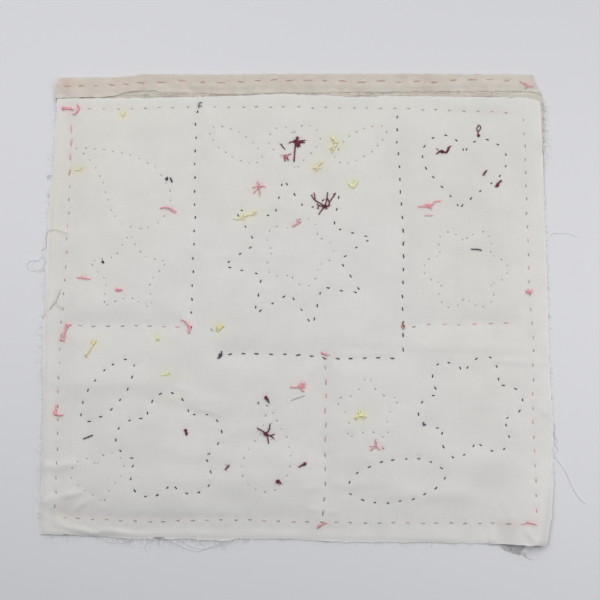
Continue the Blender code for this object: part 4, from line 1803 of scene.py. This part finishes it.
@dataclass
class Frays:
    """The frayed threads along the cut edges, and the few long ones that trail onto the table."""

    stack: ClothStack
    seed: int = 90

    def fibre(self, work: ThreadWork, edge: RawEdge) -> None:
        """Adds one short frayed thread.

        Args:
            work: The threads that it joins.
            edge: The edge it comes from.
        """
        chance = work.chance
        place = chance.uniform(edge.start, edge.end)
        value = float(along(edge.table, np.array([place]))[0])
        x, y = (value, place) if edge.outward[0] else (place, value)
        length = edge.longest * chance.random() ** 2.2 + 0.4
        lean = chance.gauss(0, 0.75)
        out = np.array(edge.outward)
        sideways = np.array([-out[1], out[0]])
        start = np.array([x, y]) - out * 0.8
        middle = start + out * (0.8 + length * 0.5) + sideways * lean * length * 0.4
        end = middle + out * length * 0.4 + sideways * lean * length * chance.uniform(-0.4, 0.9)
        drop = min(1.0, length / 4) * (edge.level - 0.25)
        heights = (edge.level, edge.level - 0.3 * drop, edge.level - drop)
        flat = [(*place_xy, z) for place_xy, z in zip((start, middle, end), heights)]
        path = smooth_path(flat, max(length / 4, 0.35))
        work.strand(path, edge.radius * np.linspace(1, 0.7, len(path)), edge.shade, 3)

    def trailing(
        self, work: ThreadWork, points: Sequence[Sequence[float]], radius: float, shade: Shade
    ) -> None:
        """Adds one long loose thread.

        Args:
            work: The threads that it joins.
            points: The points that it runs through.
            radius: Its radius.
            shade: Its colour.
        """
        path = smooth_path(points, 1.2)
        path[:, 2] = np.maximum(path[:, 2], radius + CLEAR)
        self.lay(work, path, radius, shade)

    def strip_threads(self, work: ThreadWork) -> None:
        """Lays loose warp threads along the strip between the hem's edge and the lining's.

        Args:
            work: The threads that they join.
        """
        chance = work.chance
        for _ in range(STRIP_THREADS):
            start = chance.uniform(-114, 132)
            xs = np.linspace(start, start + chance.uniform(5, 20), 7)
            level = chance.uniform(0.1, 0.85)
            low = along(LINING_TOP, xs) + 0.2
            ys = low + (along(HEM_EDGE, xs) - low) * level
            ys += np.array([chance.gauss(0, 0.14) for _ in xs])
            zs = self.stack.face(xs, ys) + CLOTH / 2 + chance.uniform(0.1, 0.2)
            shade = chance.choice((Shade.CALICO, Shade.TAN, Shade.PALE))
            path = smooth_path(np.column_stack([xs, ys, zs]), 1.2)
            self.lay(work, path, chance.uniform(0.06, 0.11), shade)

    def lay(self, work: ThreadWork, path: np.ndarray, radius: float, shade: Shade) -> None:
        """Adds one even thread along a path."""
        work.strand(path, np.full(len(path), radius), shade, 5)

    def build(self) -> list[bpy.types.Object]:
        """Makes the frays of each cloth and the trailing threads.

        Returns:
            The pieces.
        """
        pieces = []
        for number, (name, edges) in enumerate(RAW_EDGES.items()):
            work = ThreadWork(name, self.seed + number)
            for edge in edges:
                for _ in range(edge.count):
                    self.fibre(work, edge)
            if name == "face_frays":
                self.strip_threads(work)
            pieces.append(work.build())
        work = ThreadWork("trailing_threads", self.seed + 9)
        for points, radius, shade in TRAILING:
            self.trailing(work, points, radius, shade)
        pieces.append(work.build())
        return pieces


# Frays: which edge, which way they point, from where to where, how many, the longest, the height
# they start at, their shade and their radius.
LEFTWARDS, RIGHTWARDS, DOWNWARDS, UPWARDS = (-1, 0), (1, 0), (0, -1), (0, 1)
STRIP_THREADS = 60
RAW_EDGES = {
    "lining_frays": (
        RawEdge(LINING_LEFT, LEFTWARDS, -136, 128, 130, 2.4, 0.5, Shade.HAZE, 0.05),
        RawEdge(LINING_LEFT, LEFTWARDS, -130, 128, 380, 7.0, 0.4, Shade.HAZE, 0.03),
        RawEdge(LINING_RIGHT, RIGHTWARDS, -84, 128, 320, 2.4, 0.5, Shade.COTTON),
        RawEdge(LINING_RIGHT, RIGHTWARDS, -134, -84, 60, 1.8, 1.4, Shade.HAZE, 0.04),
        RawEdge(LINING_RIGHT, RIGHTWARDS, 88, 130, 180, 8.0, 0.4, Shade.HAZE, 0.03),
        RawEdge(LINING_RIGHT, RIGHTWARDS, -84, 88, 120, 3.5, 0.4, Shade.HAZE, 0.03),
        RawEdge(LINING_BOTTOM, DOWNWARDS, -150, 112, 150, 2.6, 0.5, Shade.COTTON, 0.05),
        RawEdge(LINING_BOTTOM, DOWNWARDS, -148, -40, 340, 6.0, 0.6, Shade.HAZE, 0.03),
        RawEdge(LINING_BOTTOM, DOWNWARDS, -40, 120, 230, 4.0, 0.6, Shade.HAZE, 0.03),
        RawEdge(LINING_BOTTOM, DOWNWARDS, -112, -28, 150, 8.0, 0.6, Shade.PALE, 0.025),
        RawEdge(LINING_TOP, UPWARDS, -148, 148, 300, 1.2, 1.7, Shade.COTTON),
    ),
    "face_frays": (
        RawEdge(HEM_EDGE, DOWNWARDS, -148, 148, 300, 1.6, 1.6, Shade.CALICO, 0.05),
        RawEdge(FACE_RIGHT, RIGHTWARDS, 90, 134, 110, 3.4, 0.8, Shade.CALICO),
        RawEdge(FACE_LEFT, LEFTWARDS, 100, 134, 70, 2.6, 0.8, Shade.CALICO),
        RawEdge(FACE_BOTTOM, DOWNWARDS, 112, 146, 60, 3.0, 0.8, Shade.CALICO),
        RawEdge(FACE_BOTTOM, DOWNWARDS, -150, 110, 160, 2.6, 0.8, Shade.CALICO),
    ),
}

# Long loose threads: their points, radius and shade.
TRAILING = (
    (((153.4, -88, 2.0), (155.4, -92, 1.0), (157.6, -95.4, 0.3), (161.4, -101, 0.3), (164, -107.4, 0.3),
      (166.6, -113, 0.3), (170, -117.6, 0.3), (173, -119.4, 0.3)), 0.12, Shade.COTTON),
    (((154.2, -76, 1.8), (155.6, -80, 0.8), (155.2, -84.4, 0.5), (157.4, -87.4, 0.3), (155.4, -90, 0.4)),
     0.13, Shade.COTTON),
    (((153.6, 39.6, 0.7), (155.8, 41.1, 0.4), (158.4, 44.5, 0.3), (163.6, 44.8, 0.3), (168.8, 44.6, 0.3),
      (171.3, 43.2, 0.3), (173.4, 42.8, 0.3)), 0.13, Shade.COTTON),
    (((-141.0, 44.4, 2.6), (-146.5, 46.2, 2.3), (-150.6, 47.0, 1.8), (-153.9, 45.7, 0.9),
      (-155.1, 42.4, 0.4), (-154.4, 36.9, 0.7), (-157.2, 34.0, 0.3)), 0.15, Shade.CALICO),
    (((-156.6, 33, 0.3), (-155.1, 26.0, 0.4), (-158.0, 21.8, 0.3), (-163.0, 21.6, 0.3),
      (-166.0, 24.6, 0.3), (-163.4, 27.8, 0.3), (-158.0, 27.6, 0.3)), 0.13, Shade.HAZE),
    (((-155.4, 30, 0.4), (-158.8, 28.6, 0.3), (-162.8, 24.6, 0.3), (-158.4, 20.4, 0.3), (-154.8, 22.6, 0.4)),
     0.1, Shade.HAZE),
    (((-153.2, 81.6, 0.5), (-155.4, 81.2, 0.4), (-155.0, 79.8, 0.4), (-153.4, 80.2, 0.5)), 0.16, Shade.PALE),
    (((-153.2, 69.4, 0.5), (-155.0, 69.2, 0.4), (-154.8, 67.8, 0.4), (-153.4, 68.2, 0.5)), 0.15, Shade.PALE),
    (((-77.7, -139.4, 1.8), (-71, -143, 0.5), (-64.4, -145.9, 0.3), (-57.6, -147.1, 0.3),
      (-50, -144.4, 0.4), (-42, -141.0, 0.8)), 0.1, Shade.COTTON),
    (((-70, -139.6, 1.8), (-64, -143.6, 0.4), (-58, -145.6, 0.3), (-50.4, -145.2, 0.3), (-40, -141.4, 1.2)),
     0.08, Shade.HAZE),
    (((-60, -139.8, 1.8), (-57, -142.6, 0.4), (-54, -144.8, 0.3), (-58.4, -147.8, 0.3)), 0.08, Shade.HAZE),
    (((-118, -137.8, 1.8), (-112, -141.6, 0.4), (-104, -142.4, 0.3), (-98, -140.6, 0.8)), 0.09, Shade.HAZE),
    (
        ((128.6, -145.6, 0.6), (133.2, -148.4, 0.3), (136.4, -150.4, 0.3), (139.4, -152.2, 0.3)),
        0.15, Shade.CALICO,
    ),
    (((-144.7, 9.6, 2.4), (-147.0, 3.4, 2.2), (-150.2, -1.6, 1.7), (-154.2, -6.2, 0.6)), 0.26, Shade.TAN),
    (((-147.4, 2.4, 2.2), (-145.4, -0.6, 2.4), (-142.4, -2.4, 2.5)), 0.26, Shade.TAN),
    (((-148.4, 1.2, 2.0), (-151.0, -4.6, 1.3), (-155.4, -8.2, 0.5)), 0.14, Shade.TAN),
    (((153.4, -70, 0.7), (155.8, -74, 0.5), (155.2, -79.4, 0.4), (157.4, -82.4, 0.3), (155.4, -85, 0.4)),
     0.12, Shade.HAZE),
)


def facing(place: Sequence[float], aim: Sequence[float]) -> Euler:
    """The turn of a camera or a light that looks from a place at its aim."""
    return (Vector(aim) - Vector(place)).to_track_quat("-Z", "Y").to_euler()


@dataclass(frozen=True)
class Studio:
    """The plain table, the soft light and the camera over the block."""

    aim: tuple[float, float, float] = (0.00224, 0.00317, 0.0)
    eye: tuple[float, float, float] = (0.0022, -0.0812, 0.6079)
    lens: float = 60.0
    sensor: float = 36.0
    floor_colour: tuple[float, float, float] = linear(212.5, 211.5, 213, EXPOSURE)
    sky_colour: tuple[float, float, float] = (0.90, 0.97, 1.08)
    sky_strength: float = 0.185

    def camera(self) -> None:
        """Puts the camera above the block, tipped a little towards its bottom edge."""
        data = bpy.data.cameras.new("camera")
        data.lens = self.lens
        data.sensor_width = self.sensor
        data.clip_start = 0.01
        camera = bpy.data.objects.new("camera", data)
        camera.location = self.eye
        camera.rotation_euler = facing(self.eye, self.aim)
        bpy.context.scene.camera = link(camera)

    def floor(self) -> None:
        """Lays the plain pale table under the block."""
        plane = bmesh.new()
        bmesh.ops.create_grid(plane, x_segments=1, y_segments=1, size=2.0)
        mesh = as_mesh("table", plane)
        paper = NodeTree("table_paper").finish(Base_Color=(*self.floor_colour, 1), Roughness=0.9)
        mesh.materials.append(paper)
        link(bpy.data.objects.new("table", mesh))

    def area(self, name: str, place: tuple[float, float, float], size: float, power: float) -> None:
        """Hangs one soft light that faces the block.

        Args:
            name: The light's name.
            place: Where it hangs, in metres.
            size: Its width, in metres.
            power: Its power, in watts.
        """
        data = bpy.data.lights.new(name, "AREA")
        data.shape = "DISK"
        data.size = size
        data.energy = power
        light = bpy.data.objects.new(name, data)
        light.location = place
        light.rotation_euler = facing(place, (0, 0, 0))
        light.visible_camera = False
        link(light)

    def light(self) -> None:
        """Lights the block softly, from beyond its hemmed edge."""
        world = bpy.data.worlds.new("studio")
        world.use_nodes = True
        background = world.node_tree.nodes["Background"]
        background.inputs[0].default_value = (*self.sky_colour, 1)
        background.inputs[1].default_value = self.sky_strength
        bpy.context.scene.world = world
        self.area("window", (0.1, 1.05, 0.98), 1.3, 7.9)
        self.area("left_card", (-0.3, 0.1, 0.5), 0.4, 1.14)
        self.area("right_card", (0.34, -0.04, 0.36), 0.45, 0.8)

    def build(self) -> None:
        """Sets the stage."""
        bpy.context.scene.view_settings.view_transform = "Standard"
        self.camera()
        self.floor()
        self.light()


def sew(stack: ClothStack) -> list[bpy.types.Object]:
    """Sews the border, the seams and the quilting.

    Args:
        stack: The cloths, which the stitches pinch.

    Returns:
        The pieces.
    """
    border = [
        StitchLine(BORDER_STYLE, BORDER_TOP, "wwwwgrrgdgggggdggrdgddrddggdgrgd"),
        StitchLine(BORDER_STYLE, BORDER_RIGHT, "crgggggggrgrdrddrggdrrrrcrrd"),
        StitchLine(BOTTOM_STYLE, BORDER_BOTTOM, "wrdrwgdgggrgggrgrggrgggdrrdgggwdcc"),
        StitchLine(BRIGHT_STYLE, BORDER_LEFT[:2], "r"),
        StitchLine(BORDER_STYLE, BORDER_LEFT[1:], "gggcggrggdggdwgrdggggrdg"),
    ]
    seams = [
        StitchLine(BLACK_DOT_STYLE, SEAM_LEFT, "b"),
        StitchLine(BLACK_DOT_STYLE, SEAM_RIGHT[:3], "b"),
        StitchLine(BLACK_DASH_STYLE, SEAM_RIGHT[2:], "b"),
        StitchLine(BLACK_DASH_STYLE, ACROSS_MIDDLE, "b"),
        StitchLine(LOW_SEAM_STYLE, SEAM_LOW, "drrrdrggggg"),
        StitchLine(PINK_SEAM_STYLE, ACROSS_LEFT, "rddggdcr"),
        StitchLine(PINK_SEAM_STYLE, ACROSS_RIGHT, "grcwcrrg"),
    ]
    dark, pale = (
        [line for motif in motifs for line in motif.lines(style, colours)]
        for motifs, style, colours in (
            (DARK_MOTIFS, DARK_QUILT_STYLE, DARK_QUILT_COLOURS),
            (PALE_MOTIFS, PALE_QUILT_STYLE, PALE_QUILT_COLOURS),
        )
    )
    return [
        RunningStitch("border_running_stitch", 11, stack, border, through=True).build(),
        RunningStitch("seam_running_stitch", 12, stack, seams, through=True).build(),
        RunningStitch("dark_quilting_stitch", 13, stack, dark).build(),
        RunningStitch("pale_quilting_stitch", 14, stack, pale).build(),
    ]


def main() -> None:
    """Builds the block from its sewing down to its table."""
    logging.basicConfig(level=logging.INFO, format="%(message)s")
    Studio().build()
    stack = ClothStack()
    stitches = sew(stack)
    knots = KnotWork(stack).build()
    face = FaceCloth(stack)
    face_piece = face.build()
    hem_stitches = HemStitching(face).build()
    lining_piece = Lining(stack).build()
    lining_frays, face_frays, trailing = Frays(stack).build()
    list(knots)


if __name__ == "__main__":
    main()
